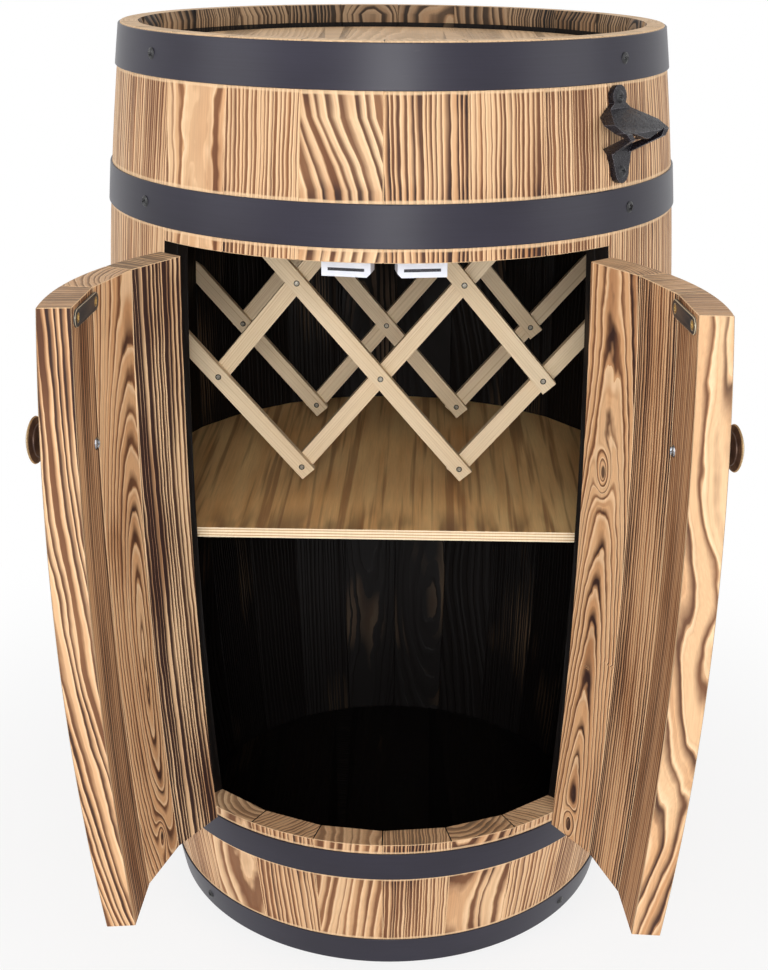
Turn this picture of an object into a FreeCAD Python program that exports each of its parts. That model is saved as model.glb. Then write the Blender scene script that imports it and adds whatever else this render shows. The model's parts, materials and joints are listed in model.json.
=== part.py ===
"""Barrel bar cabinet: a coopered pine barrel with two curved doors, a bottle lattice and a shelf.

Millimetres, +Z up. The origin is the centre of the barrel on the floor; the doors face -Y.
Angles round the barrel count from the front (-Y), positive towards +X.
"""
import FreeCAD, Part
import os
from math import asin, atan2, copysign, cos, degrees, radians, sin, sqrt
from FreeCAD import Placement, Rotation, Vector

# Barrel shell
HEIGHT = 800.0
BELLY_RADIUS = 252.0
CHIME_RADIUS = 219.0
BELLY_THICKNESS = 28.5
CHIME_THICKNESS = 18.0
STAVES = 24
DOOR_STAVES = 3
CHIME_BEVEL = 4.0

# Heads, held in croze grooves
HEAD_RECESS = 18.5
HEAD_THICKNESS = 18.0
HEAD_TONGUE = 8.0
HEAD_CHAMFER = 2.0
HEAD_BOARDS = 5
CROZE_DEPTH = 5.0
CROZE_CLEARANCE = 0.2

# Hoops
HOOP_WIDTH = 30.0
HOOP_THICKNESS = 1.5
HOOP_SEAT = 0.1
CHIME_HOOP_SETBACK = 1.0
UPPER_HOOP_DROP = 104.0
LOWER_HOOP_TOP = 139.0
HOOP_LAP_ANGLE = 11.0
HOOP_SCREW_ANGLES = (-129.0, -51.0, 51.0, 129.0)
PAN_SCREW_HEAD = 4.5
PAN_SCREW_SHANK = 2.0
PAN_SCREW_LENGTH = 14.0
RIVET_HEAD = 4.0
RIVET_SHANK = 2.0

# Door opening and doors
SILL_TOP = 149.0
HEADER_HEIGHT = 144.0
DOOR_GAP = 3.5
JAMB_KERF = 3.0
MEETING_KERF = 3.0
LEFT_OPEN_ANGLE = 84.0
RIGHT_OPEN_ANGLE = 87.0

# Butt hinges
PIN_STANDOFF = 1.5
PIN_RADIUS = 1.5
PIN_CLEARANCE = 0.05
PIN_SEAT = 0.02
KNUCKLE_RADIUS = 3.1
KNUCKLE_GAP = 0.3
LEAF_HEIGHT = 50.0
LEAF_WIDTH = 23.0
LEAF_THICKNESS = 1.2
LOWER_HINGE_RISE = 101.0
UPPER_HINGE_DROP = 104.0
LEAF_SCREW_PITCH = 17.0
LEAF_SCREW_HEAD = 2.8
LEAF_SCREW_SHANK = 1.4
LEAF_SCREW_LENGTH = 15.0
LEAF_SCREW_SETBACK = 16.5

# Shelf
SHELF_TOP = 413.5
SHELF_THICKNESS = 9.0
SHELF_SETBACK = 102.0
FIT_GAP = 0.2
CLEAT_WIDTH = 44.0
CLEAT_SECTION = 18.0
CLEAT_STAVES = (-11, -7, 6, 10)
CLEAT_SCREW_SPACING = 26.0
SHELL_SCREW_BITE = 12.0

# Bottle lattices
LATTICE_SEAT_X = -7.5
LATTICE_SEAT_RISE = 106.5
LATTICE_HALF_WIDTH = 70.5
LATTICE_HALF_HEIGHT = 81.5
LATTICE_SETBACK = 82.0
REAR_LATTICE_SETBACK = 142.0
SLAT_WIDTH = 14.5
SLAT_THICKNESS = 8.0
SLAT_TAIL = 9.0
LATTICE_SCREW_HEAD = 2.6
LATTICE_SCREW_SHANK = 1.4
LATTICE_SCREW_COVER = 2.0

# Magnetic catches and their strike plates
STRIKE_START_ANGLE = 1.2
STRIKE_END_ANGLE = 16.4
STRIKE_HEIGHT = 12.0
STRIKE_THICKNESS = 1.5
STRIKE_DROP = 12.5
STRIKE_SCREW_SPACING = 43.0
STRIKE_SCREW_HEAD = 3.2
CATCH_GAP = 0.5
CATCH_LENGTH = 37.0
CATCH_EAR = 7.0
CATCH_EAR_THICKNESS = 2.5
CATCH_EAR_SETBACK = 1.5
CATCH_DEPTH = 15.0
CATCH_BODY_HEIGHT = 13.0
CATCH_CORNER = 3.0
CATCH_OFFSET = 4.3
CATCH_BLOCK_DROP = 3.0
CATCH_BLOCK_HEIGHT = 18.0
CATCH_BLOCK_WIDTH = 50.0
CATCH_BLOCK_DEPTH = 21.0
MAGNET_LENGTH = 27.5
MAGNET_HEIGHT = 1.2
MAGNET_DROP = 7.7
MAGNET_DEPTH = 10.0
POLE_THICKNESS = 0.5
POLE_PROUD = 0.2
CATCH_SCREW_HEAD = 2.6

# Knobs
KNOB_FOOT_RADIUS = 7.5
KNOB_FOOT_HEIGHT = 2.0
KNOB_NECK_RADIUS = 6.0
KNOB_NECK_HEIGHT = 13.0
KNOB_STEP_RADIUS = 12.0
KNOB_STEP = 1.0
KNOB_RADIUS = 17.2
KNOB_RIM_HEIGHT = 18.0
KNOB_HEIGHT = 23.0
KNOB_ANGLE = 13.0
KNOB_DROP = 111.5
KNOB_SCREW_RADIUS = 2.0
KNOB_SCREW_HEAD = 4.5
KNOB_SCREW_BITE = 10.0

# Cast bottle opener
OPENER_ANGLE = 47.5
OPENER_DROP = 66.5
OPENER_SCREW_SPACING = 52.0
OPENER_LUG_RADIUS = 8.0
OPENER_PLATE = 5.0
OPENER_WALL = 4.5
OPENER_NECK_WIDTH = 13.0
OPENER_WIDTH = 54.0
OPENER_WING_RISE = 8.0
OPENER_REACH = 29.0
OPENER_LIP_RISE = 1.0
OPENER_LIP_DIP = 5.0
OPENER_BODY_WIDTH = 24.0
OPENER_BODY_DROP = 13.0
OPENER_ARM = 6.0

MIDDLE = HEIGHT / 2
STEP = 360.0 / STAVES
JAMB_ANGLE = DOOR_STAVES * STEP
TOP_HEAD_BASE = HEIGHT - HEAD_RECESS - HEAD_THICKNESS
HEADER_BOTTOM = HEIGHT - HEADER_HEIGHT
STRIKE_LEVEL = HEADER_BOTTOM - STRIKE_DROP
KNOB_LEVEL = HEADER_BOTTOM - KNOB_DROP
LATTICE_SEAT_Z = SHELF_TOP + LATTICE_SEAT_RISE
SHELF_FRONT = BELLY_RADIUS - SHELF_SETBACK
FRONT_LATTICE_DEPTH = SHELF_FRONT - LATTICE_SETBACK
REAR_LATTICE_DEPTH = BELLY_RADIUS - REAR_LATTICE_SETBACK
OPENER_LEVEL = HEIGHT - OPENER_DROP
PIN_ORBIT = BELLY_RADIUS + PIN_STANDOFF
SLAT_SLOPE = degrees(atan2(LATTICE_HALF_HEIGHT, LATTICE_HALF_WIDTH))


# ---------------------------------------------------------------- curves of the shell

def arc_radius(sagitta):
    """Radius of the long arc that sinks by the sagitta at both ends of the barrel."""
    return (MIDDLE ** 2 + sagitta ** 2) / (2 * sagitta)


def bulge(level, belly, end):
    """Distance from the barrel's axis of a long arc, at a level above the floor."""
    big = arc_radius(belly - end)
    return belly - big + copysign(sqrt(big ** 2 - (level - MIDDLE) ** 2), big)


def outer_radius(level):
    return bulge(level, BELLY_RADIUS, CHIME_RADIUS)


def inner_radius(level):
    """Distance from the axis to the flat inner face of a stave."""
    return bulge(level, BELLY_RADIUS - BELLY_THICKNESS, CHIME_RADIUS - CHIME_THICKNESS)


def outward(angle, radius=1.0, level=0.0):
    """Point at an angle from the front, a distance from the axis and a level."""
    return Vector(radius * sin(radians(angle)), -radius * cos(radians(angle)), level)


def at_angle(shape, angle):
    """Turn a shape that was built facing the front round to its angle."""
    turned = shape.copy()
    turned.Placement = Placement(Vector(), Rotation(Vector(0, 0, 1), angle)).multiply(turned.Placement)
    return turned


def long_arc(radius_at, low, high, offset=0.0):
    """Arc in the YZ plane in front of the axis that follows a bulge between two levels."""
    points = [Vector(0, -radius_at(z) - offset, z) for z in (low, (low + high) / 2, high)]
    return Part.Arc(*points).toShape()


def closed_face(edges):
    return Part.Face(Part.Wire(Part.__sortEdges__(edges)))


def line(a, b):
    return Part.makeLine(Vector(*a), Vector(*b))


def bulged_slab(radius_at, low, high, back, half_width, offset=0.0):
    """Slab with one bulged face in front and a flat back, as wide as two half widths."""
    front = long_arc(radius_at, low, high, offset)
    y_low, y_high = -radius_at(low) - offset, -radius_at(high) - offset
    face = closed_face([front, line((0, y_low, low), (0, -back, low)),
                        line((0, -back, low), (0, -back, high)), line((0, -back, high), (0, y_high, high))])
    face.translate(Vector(-half_width, 0, 0))
    return face.extrude(Vector(2 * half_width, 0, 0))


def bulged_ring(low, high, inside, outside, start=0.0, sweep=360.0):
    """Band that follows the outside of the barrel between two offsets from it."""
    a, b = (long_arc(outer_radius, low, high, t) for t in (inside, outside))
    caps = [line((0, -outer_radius(z) - inside, z), (0, -outer_radius(z) - outside, z)) for z in (low, high)]
    band = closed_face([a, b] + caps).revolve(Vector(), Vector(0, 0, 1), sweep)
    return at_angle(band, start)


def cylinder(radius, length, base, direction):
    return Part.makeCylinder(radius, length, base, direction)


def box(x, y, z):
    """Box between three pairs of limits."""
    return Part.makeBox(x[1] - x[0], y[1] - y[0], z[1] - z[0], Vector(x[0], y[0], z[0]))


# ---------------------------------------------------------------- staves

def wedge(left, right, low, high):
    """Wedge of the barrel between two angles and two levels, from the axis to its outside."""
    arc = long_arc(outer_radius, low, high)
    face = closed_face([arc, line((0, -outer_radius(low), low), (0, 0, low)), line((0, 0, low), (0, 0, high)),
                        line((0, 0, high), (0, -outer_radius(high), high))])
    return at_angle(face.revolve(Vector(), Vector(0, 0, 1), right - left), left)


def hollow_for(index, low, high, offset=0.0):
    """Flat-sided core that the inner face of one stave is cut back to."""
    core = bulged_slab(inner_radius, low, high, 0.0, BELLY_RADIUS, offset)
    return at_angle(core, (index + 0.5) * STEP)


def croze_cutter(head_base):
    """Groove for a head's tongue, as a thick disc reaching into the staves."""
    middle = head_base + HEAD_THICKNESS / 2
    half = HEAD_TONGUE / 2 + CROZE_CLEARANCE
    radius = inner_radius(middle) + CROZE_DEPTH
    return cylinder(radius, 2 * half, Vector(0, 0, middle - half), Vector(0, 0, 1))


def bevel_cutter(level, opens):
    """Cone that bevels the inner edge of a chime and opens towards it."""
    thin = CHIME_RADIUS - CHIME_THICKNESS
    base = Vector(0, 0, level - 2 * CHIME_BEVEL * opens)
    return Part.makeCone(thin, thin + CHIME_BEVEL, 2 * CHIME_BEVEL, base, Vector(0, 0, opens))


def stave(index, low=0.0, high=HEIGHT):
    """One stave: bulged and round outside, bulged and flat across inside, radial edges."""
    piece = wedge(index * STEP, (index + 1) * STEP, low, high).cut(hollow_for(index, low, high))
    if low < HEAD_RECESS:
        piece = piece.cut([croze_cutter(HEAD_RECESS), bevel_cutter(0.0, -1)])
    if high > TOP_HEAD_BASE:
        piece = piece.cut([croze_cutter(TOP_HEAD_BASE), bevel_cutter(HEIGHT, 1)])
    return piece


def inside_space(low, high):
    """Room inside the barrel between two levels, a fitting gap clear of every stave."""
    sectors = []
    for index in range(-STAVES // 2, STAVES // 2):
        sector = wedge(index * STEP, (index + 1) * STEP, low, high)
        sectors.append(sector.common(hollow_for(index, low, high, -FIT_GAP)))
    return sectors[0].fuse(sectors[1:]).removeSplitter()


def flat_frame(angle, level, radius):
    """Placement whose -Y looks outward at an angle and whose origin lies at a radius and level."""
    return Placement(outward(angle, radius, level), Rotation(Vector(0, 0, 1), angle))


def stave_middle(index):
    return (index + 0.5) * STEP


# ---------------------------------------------------------------- heads

def head(base):
    """Round head with chamfered rims and a tongue all round, cut into boards that run front to back."""
    middle = base + HEAD_THICKNESS / 2
    face_radius = inner_radius(TOP_HEAD_BASE + HEAD_THICKNESS) - CROZE_CLEARANCE
    tongue_radius = inner_radius(middle) + CROZE_DEPTH - CROZE_CLEARANCE
    disc = cylinder(face_radius, HEAD_THICKNESS, Vector(0, 0, base), Vector(0, 0, 1))
    disc = disc.makeChamfer(HEAD_CHAMFER, [edge for edge in disc.Edges if edge.isClosed()])
    tongue = cylinder(tongue_radius, HEAD_TONGUE, Vector(0, 0, middle - HEAD_TONGUE / 2), Vector(0, 0, 1))
    disc = disc.fuse(tongue).removeSplitter()
    width = 2 * tongue_radius / HEAD_BOARDS
    boards = []
    for k in range(HEAD_BOARDS):
        left = k * width - tongue_radius
        strip = box((left, left + width), (-tongue_radius, tongue_radius), (base, base + HEAD_THICKNESS))
        boards.append(disc.common(strip))
    return Part.makeCompound(boards)


# ---------------------------------------------------------------- fasteners

def screw(head_radius, shank_radius, length, at, direction, head_height=None):
    """Pan-head screw: the head stands out at a point and the shank runs the given way."""
    height = head_height or 0.45 * head_radius
    cap = Part.makeCone(head_radius, 0.6 * head_radius, height, at, direction * -1)
    return cap.fuse(cylinder(shank_radius, length, at, direction)).removeSplitter()


def flush_screw(head_radius, shank_radius, length, at, direction):
    """Countersunk screw: the head's top lies at the point and the shank runs the given way."""
    cone = Part.makeCone(head_radius, shank_radius, head_radius - shank_radius, at, direction)
    return cone.fuse(cylinder(shank_radius, length, at, direction)).removeSplitter()


# ---------------------------------------------------------------- hoops

def hoop(top):
    """Steel band with its lap joint at the back, where one end lies over the other."""
    low = top - HOOP_WIDTH
    inside, outside = HOOP_SEAT, HOOP_SEAT + HOOP_THICKNESS
    band = bulged_ring(low, top, inside, outside)
    lap = bulged_ring(low, top, outside, outside + HOOP_THICKNESS, 180 - HOOP_LAP_ANGLE / 2, HOOP_LAP_ANGLE)
    return band.fuse(lap).removeSplitter()


def hoop_screws(top):
    """Screws that hold a hoop to the staves, two in front beside the doors and two behind."""
    level = top - HOOP_WIDTH / 2
    seat = outer_radius(level) + HOOP_SEAT + HOOP_THICKNESS
    return [screw(PAN_SCREW_HEAD, PAN_SCREW_SHANK, PAN_SCREW_LENGTH, outward(a, seat, level), outward(a) * -1)
            for a in HOOP_SCREW_ANGLES]


def lap_rivets(top):
    """Two rivets through the lap of a hoop, side by side."""
    level = top - HOOP_WIDTH / 2
    seat = outer_radius(level) + HOOP_SEAT + 2 * HOOP_THICKNESS
    length = seat - max(outer_radius(level - RIVET_SHANK), outer_radius(level + RIVET_SHANK))
    return [screw(RIVET_HEAD, RIVET_SHANK, length, outward(a, seat, level), outward(a) * -1)
            for a in (180 - HOOP_LAP_ANGLE / 4, 180 + HOOP_LAP_ANGLE / 4)]


# ---------------------------------------------------------------- shelf

def shelf():
    """Plywood shelf that fills the barrel's section, sawn straight along its front."""
    low = SHELF_TOP - SHELF_THICKNESS
    slab = inside_space(low, SHELF_TOP)
    return slab.common(box((-BELLY_RADIUS, BELLY_RADIUS), (-SHELF_FRONT, BELLY_RADIUS), (low, SHELF_TOP)))


def cleat(index):
    """Cleat under the shelf, flat against one stave."""
    top = SHELF_TOP - SHELF_THICKNESS
    middle = top - CLEAT_SECTION / 2
    back = inner_radius(middle) - CLEAT_SECTION
    piece = bulged_slab(inner_radius, top - CLEAT_SECTION, top, back, CLEAT_WIDTH / 2)
    pins = [Vector(x, -back, middle) for x in (-CLEAT_SCREW_SPACING / 2, CLEAT_SCREW_SPACING / 2)]
    pins = [flush_screw(LEAF_SCREW_HEAD, LEAF_SCREW_SHANK, CLEAT_SECTION + SHELL_SCREW_BITE, p,
                         Vector(0, -1, 0)) for p in pins]
    angle = stave_middle(index)
    return at_angle(piece, angle), [at_angle(p, angle) for p in pins]


# ---------------------------------------------------------------- bottle lattice

def lattice_point(column, row):
    """Crossing of the lattice, counted in half cells from the seat of the middle bottle."""
    return (LATTICE_SEAT_X + column * LATTICE_HALF_WIDTH, LATTICE_SEAT_Z + row * LATTICE_HALF_HEIGHT)


def slat(start, rises, front):
    """Slat from its lower crossing up to the staves or the head, in front of a depth."""
    x, z = lattice_point(*start)
    bar = box((-SLAT_TAIL, HEIGHT), (front, front + SLAT_THICKNESS), (-SLAT_WIDTH / 2, SLAT_WIDTH / 2))
    bar.rotate(Vector(), Vector(0, 1, 0), -SLAT_SLOPE if rises else SLAT_SLOPE - 180)
    bar.translate(Vector(x, 0, z))
    return bar


FALLING_STARTS = ((-1, -1), (1, -1), (2, 0))
RISING_STARTS = ((-2, 0), (-1, -1), (1, -1))
CROSSINGS = ((-2, 0), (-1, 1), (-1, -1), (0, 0), (1, 1), (1, -1), (2, 0), (0, 2))


def lattice(front, space):
    """Falling slats in front of rising ones, and a screw at each crossing."""
    falling = [slat(s, False, front).common(space) for s in FALLING_STARTS]
    rising = [slat(s, True, front + SLAT_THICKNESS).common(space) for s in RISING_STARTS]
    screws = []
    for x, z in (lattice_point(*crossing) for crossing in CROSSINGS):
        if z + SLAT_WIDTH / 2 > TOP_HEAD_BASE:
            continue
        length = 2 * SLAT_THICKNESS - LATTICE_SCREW_COVER
        screws.append(flush_screw(LATTICE_SCREW_HEAD, LATTICE_SCREW_SHANK, length, Vector(x, front, z),
                                  Vector(0, 1, 0)))
    return falling, rising, screws


# ---------------------------------------------------------------- catches

def inner_point(angle, level):
    """Point on the flat inner face of the stave at an angle."""
    middle = stave_middle(int(angle // STEP))
    return outward(angle, inner_radius(level) / cos(radians(angle - middle)), level)


def strike_seat():
    """Ends of the right strike plate's seat, where it bridges the flats of two staves."""
    return [inner_point(angle, STRIKE_LEVEL) for angle in (STRIKE_START_ANGLE, STRIKE_END_ANGLE)]


def strike_frame(lean=0.0):
    """Placement at the middle of the strike plate's seat: X along the plate, -Y outward."""
    a, b = strike_seat()
    turn = Rotation(Vector(0, 0, 1), degrees(atan2(b.y - a.y, b.x - a.x)))
    return Placement((a + b) * 0.5, turn.multiply(Rotation(Vector(1, 0, 0), -degrees(lean))))


def wall_lean(level, height):
    """How far the inner faces of the staves lean in over a height round a level, as a slope."""
    return (inner_radius(level - height / 2) - inner_radius(level + height / 2)) / height


def obround(length, height, depth, y):
    """Flat plate with round ends, lying in XZ and reaching from y by its depth."""
    half = length / 2 - height / 2
    ends = [cylinder(height / 2, depth, Vector(x, y, 0), Vector(0, 1, 0)) for x in (-half, half)]
    middle = box((-half, half), (y, y + depth), (-height / 2, height / 2))
    return middle.fuse(ends).removeSplitter()


def placed(shape, frame):
    moved = shape.copy()
    moved.Placement = frame.multiply(moved.Placement)
    return moved


def strike():
    """Strike plate on the inner face of the closed right door, with its two screws."""
    a, b = strike_seat()
    frame = strike_frame(atan2(wall_lean(STRIKE_LEVEL, STRIKE_HEIGHT), 1))
    pins = [flush_screw(STRIKE_SCREW_HEAD, LEAF_SCREW_SHANK, LEAF_SCREW_LENGTH,
                        Vector(x, STRIKE_THICKNESS, 0), Vector(0, -1, 0))
            for x in (-STRIKE_SCREW_SPACING / 2, STRIKE_SCREW_SPACING / 2)]
    plate = obround((b - a).Length, STRIKE_HEIGHT, STRIKE_THICKNESS, 0).cut(pins)
    return placed(plate, frame), [placed(p, frame) for p in pins]


def catch():
    """Right magnetic catch: housing with two ears and one cut corner, magnet between pole plates, screws."""
    frame = strike_frame()
    front = STRIKE_THICKNESS + wall_lean(STRIKE_LEVEL, STRIKE_HEIGHT) * STRIKE_HEIGHT / 2 + CATCH_GAP
    top = HEADER_BOTTOM - CATCH_BLOCK_DROP - STRIKE_LEVEL
    half = CATCH_LENGTH / 2
    x = -CATCH_OFFSET
    low = top - CATCH_BODY_HEIGHT
    outline = [(x - half, top), (x + half, top), (x + half, low), (x - half + CATCH_CORNER, low),
               (x - half, low + CATCH_CORNER)]
    body = Part.Face(Part.makePolygon([Vector(u, front, v) for u, v in outline + outline[:1]]))
    body = body.extrude(Vector(0, CATCH_DEPTH, 0))
    ears = box((x - half - CATCH_EAR, x + half + CATCH_EAR),
               (front + CATCH_EAR_SETBACK, front + CATCH_DEPTH - CATCH_EAR_SETBACK),
               (top - CATCH_EAR_THICKNESS, top))
    body = body.fuse(ears).removeSplitter()
    level = top - MAGNET_DROP
    m = MAGNET_LENGTH / 2
    tall = MAGNET_HEIGHT / 2
    magnet = box((x - m, x + m), (front, front + MAGNET_DEPTH), (level - tall, level + tall))
    along = (front - POLE_PROUD, front + MAGNET_DEPTH)
    poles = [box((x - m, x + m), along, (level + z, level + z + POLE_THICKNESS))
             for z in (tall, -tall - POLE_THICKNESS)]
    seats = [Vector(x + s * (half + CATCH_EAR / 2), front + CATCH_DEPTH / 2, top - CATCH_EAR_THICKNESS)
             for s in (-1, 1)]
    pins = [flush_screw(CATCH_SCREW_HEAD, LEAF_SCREW_SHANK, LEAF_SCREW_LENGTH, seat, Vector(0, 0, 1))
            for seat in seats]
    housing = body.cut([magnet] + poles).cut(pins)
    return tuple([placed(s, frame) for s in group] for group in ([housing], [magnet] + poles, pins))


def catch_block():
    """Block behind the header that carries the right catch, flat against its stave, with a screw."""
    low = HEADER_BOTTOM - CATCH_BLOCK_DROP
    high = low + CATCH_BLOCK_HEIGHT
    middle = (low + high + CATCH_BLOCK_DROP) / 2
    back = inner_radius(middle) - CATCH_BLOCK_DEPTH
    piece = bulged_slab(inner_radius, low, high, back, CATCH_BLOCK_WIDTH / 2)
    pin = flush_screw(LEAF_SCREW_HEAD, LEAF_SCREW_SHANK, CATCH_BLOCK_DEPTH + SHELL_SCREW_BITE,
                      Vector(0, -back, middle), Vector(0, -1, 0))
    return [at_angle(piece, stave_middle(0))], [at_angle(pin, stave_middle(0))]


# ---------------------------------------------------------------- doors

def right_door_stave(index):
    """Door stave as it lies with the right door closed, sawn free at the jamb and the meeting edge."""
    piece = stave(index, SILL_TOP + DOOR_GAP, HEADER_BOTTOM - DOOR_GAP)
    if index == 0:
        piece = piece.cut(box((-1, MEETING_KERF / 2), (-BELLY_RADIUS, 0), (0, HEIGHT)))
    if index == DOOR_STAVES - 1:
        kerf = box((-JAMB_KERF, JAMB_KERF), (-BELLY_RADIUS, 0), (0, HEIGHT))
        piece = piece.cut(at_angle(kerf, JAMB_ANGLE))
    return piece


def knob_profile():
    """Half section of the knob in the YZ plane: foot, neck, stepped back of the bowl, rim and dome."""
    step_level = (KNOB_NECK_HEIGHT + KNOB_RIM_HEIGHT) / 2
    corners = [(0, 0), (KNOB_FOOT_RADIUS, 0), (KNOB_FOOT_RADIUS, KNOB_FOOT_HEIGHT / 2),
               (KNOB_NECK_RADIUS, KNOB_FOOT_HEIGHT), (KNOB_NECK_RADIUS, KNOB_NECK_HEIGHT),
               (KNOB_STEP_RADIUS, step_level - KNOB_STEP), (KNOB_STEP_RADIUS, step_level),
               (KNOB_RADIUS - KNOB_STEP, KNOB_RIM_HEIGHT - KNOB_STEP), (KNOB_RADIUS, KNOB_RIM_HEIGHT)]
    edges = [line((0, -a[1], a[0]), (0, -b[1], b[0])) for a, b in zip(corners, corners[1:])]
    rise = KNOB_HEIGHT - KNOB_RIM_HEIGHT
    ball_radius = (KNOB_RADIUS ** 2 + rise ** 2) / (2 * rise)
    half_angle = asin(KNOB_RADIUS / ball_radius) / 2
    middle = Vector(0, ball_radius * (1 - cos(half_angle)) - KNOB_HEIGHT, ball_radius * sin(half_angle))
    top = Vector(0, -KNOB_HEIGHT, 0)
    edges.append(Part.Arc(Vector(0, -KNOB_RIM_HEIGHT, KNOB_RADIUS), middle, top).toShape())
    return closed_face(edges + [Part.makeLine(top, Vector())])


def knob():
    """Turned knob on the right door's outside, with the screw that comes from inside."""
    turned = knob_profile().revolve(Vector(), Vector(0, 1, 0), 360)
    seat = outer_radius(KNOB_LEVEL - KNOB_FOOT_RADIUS)
    off = radians(abs(KNOB_ANGLE - stave_middle(KNOB_ANGLE // STEP)))
    face = (inner_radius(KNOB_LEVEL + KNOB_SCREW_HEAD) - KNOB_SCREW_HEAD * sin(off)) / cos(off)
    frame = flat_frame(KNOB_ANGLE, KNOB_LEVEL, seat)
    pin = screw(KNOB_SCREW_HEAD, KNOB_SCREW_RADIUS, seat - face + KNOB_SCREW_BITE,
                Vector(0, seat - face, 0), Vector(0, -1, 0))
    return placed(turned.cut(pin), frame), placed(pin, frame)


def knuckles(numbers, bore):
    """Knuckles of a hinge leaf round the pin, and their tabs to the leaf, at the given places."""
    pitch = LEAF_HEIGHT / 5
    rings = []
    for n in numbers:
        low = n * pitch - LEAF_HEIGHT / 2 + KNUCKLE_GAP / 2
        ring = cylinder(KNUCKLE_RADIUS, pitch - KNUCKLE_GAP, Vector(0, 0, low), Vector(0, 0, 1))
        tab = box((JAMB_KERF / 2 - LEAF_THICKNESS, JAMB_KERF / 2), (0, KNUCKLE_RADIUS + 2 * KNUCKLE_GAP),
                  (low, low + pitch - KNUCKLE_GAP))
        hole = cylinder(PIN_RADIUS + bore, LEAF_HEIGHT, Vector(0, 0, -LEAF_HEIGHT / 2), Vector(0, 0, 1))
        rings.append(ring.fuse(tab).cut(hole))
    return rings


def leaf(numbers, bore):
    """Frame-side hinge leaf about its pin, flat against the jamb, and its three screws."""
    half = LEAF_HEIGHT / 2
    plate = box((JAMB_KERF / 2 - LEAF_THICKNESS, JAMB_KERF / 2), (KNUCKLE_RADIUS + KNUCKLE_GAP, LEAF_WIDTH),
                (-half, half))
    pins = [flush_screw(LEAF_SCREW_HEAD, LEAF_SCREW_SHANK, LEAF_SCREW_LENGTH,
                        Vector(JAMB_KERF / 2 - LEAF_THICKNESS, LEAF_SCREW_SETBACK, z), Vector(1, 0, 0))
            for z in (-LEAF_SCREW_PITCH, 0, LEAF_SCREW_PITCH)]
    return plate.fuse(knuckles(numbers, bore)).removeSplitter().cut(pins), pins


def hinge(level):
    """Butt hinge of the right door, closed: frame leaf, pin, door leaf and the screws of each."""
    frame = Placement(Vector(), Rotation(Vector(0, 0, 1), JAMB_ANGLE)).multiply(
        Placement(Vector(-JAMB_KERF / 2, -PIN_ORBIT, level), Rotation()))
    frame_leaf, frame_pins = leaf((0, 2, 4), PIN_SEAT)
    door_leaf, door_pins = leaf((1, 3), PIN_CLEARANCE)
    mirror = (Vector(), Vector(1, 0, 0))
    door_leaf, door_pins = door_leaf.mirror(*mirror), [p.mirror(*mirror) for p in door_pins]
    pin = cylinder(PIN_RADIUS, LEAF_HEIGHT, Vector(0, 0, -LEAF_HEIGHT / 2), Vector(0, 0, 1))
    top = Vector(0, 0, LEAF_HEIGHT / 2)
    button = cylinder(KNUCKLE_RADIUS - KNUCKLE_GAP, LEAF_THICKNESS, top, Vector(0, 0, 1))
    pin = pin.fuse(button).removeSplitter()
    return tuple([placed(s, frame) for s in group]
                 for group in ([frame_leaf], frame_pins, [pin], [door_leaf], door_pins))


def opened(shape, side):
    """Swing a piece of a closed door about its hinge line to where it stands at rest."""
    base = at_angle(Part.Vertex(Vector(-JAMB_KERF / 2, -PIN_ORBIT, 0)), JAMB_ANGLE).Point
    turn = RIGHT_OPEN_ANGLE if side > 0 else -LEFT_OPEN_ANGLE
    base.x *= side
    swung = shape.copy() if side > 0 else shape.mirror(Vector(), Vector(1, 0, 0))
    swung.rotate(base, Vector(0, 0, 1), turn)
    return swung


# ---------------------------------------------------------------- bottle opener

def prism(outline, place, depth):
    """Closed outline of number pairs, turned into points by a rule and pushed through by a vector."""
    points = [place(*pair) for pair in outline + outline[:1]]
    return Part.Face(Part.makePolygon(points)).extrude(depth)


def opener_side():
    """The opener seen from the side: lug, hood out to the lip, return to the body, hollow behind."""
    lug, plate, wall = OPENER_SCREW_SPACING / 2, OPENER_PLATE, OPENER_WALL
    end, neck = lug + OPENER_LUG_RADIUS, lug - OPENER_LUG_RADIUS
    lip, body = OPENER_LIP_RISE, -OPENER_BODY_DROP
    outside = [(0, end), (plate, end), (plate, neck), (OPENER_REACH, lip), (OPENER_REACH, lip - wall),
               (plate, body), (plate, -end), (0, -end)]
    hollow = [(-1, neck - wall), (0, neck - wall), (OPENER_REACH - wall, lip - wall / 2), (0, body + wall),
              (-1, body + wall)]
    width = Vector(2 * OPENER_WIDTH, 0, 0)
    solid, room = [prism(pairs, lambda w, v: Vector(-OPENER_WIDTH, -w, v), width)
                   for pairs in (outside, hollow)]
    return solid.cut(room)


def opener_front():
    """The opener seen from the front: neck, wings, arms and body; and the mouth between the arms."""
    lug = OPENER_SCREW_SPACING / 2
    neck, wing, body = OPENER_NECK_WIDTH / 2, OPENER_WIDTH / 2, OPENER_BODY_WIDTH / 2
    half = [(neck, lug - OPENER_LUG_RADIUS / 2), (wing, OPENER_WING_RISE),
            (wing, OPENER_WING_RISE - OPENER_ARM), (body, -OPENER_BODY_DROP), (OPENER_LUG_RADIUS, -lug)]
    mouth = [(0, OPENER_LIP_RISE - OPENER_LIP_DIP), (wing - OPENER_ARM, OPENER_WING_RISE - OPENER_ARM),
             (body - OPENER_ARM / 2, -OPENER_BODY_DROP)]
    outlines = [pairs + [(-u, v) for u, v in reversed(pairs) if u] for pairs in (half, mouth)]
    depth = Vector(0, -2 * OPENER_REACH, 0)
    return [prism(pairs, lambda u, v, y=y: Vector(u, y, v), depth)
            for pairs, y in zip(outlines, (0, -OPENER_PLATE))]


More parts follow.
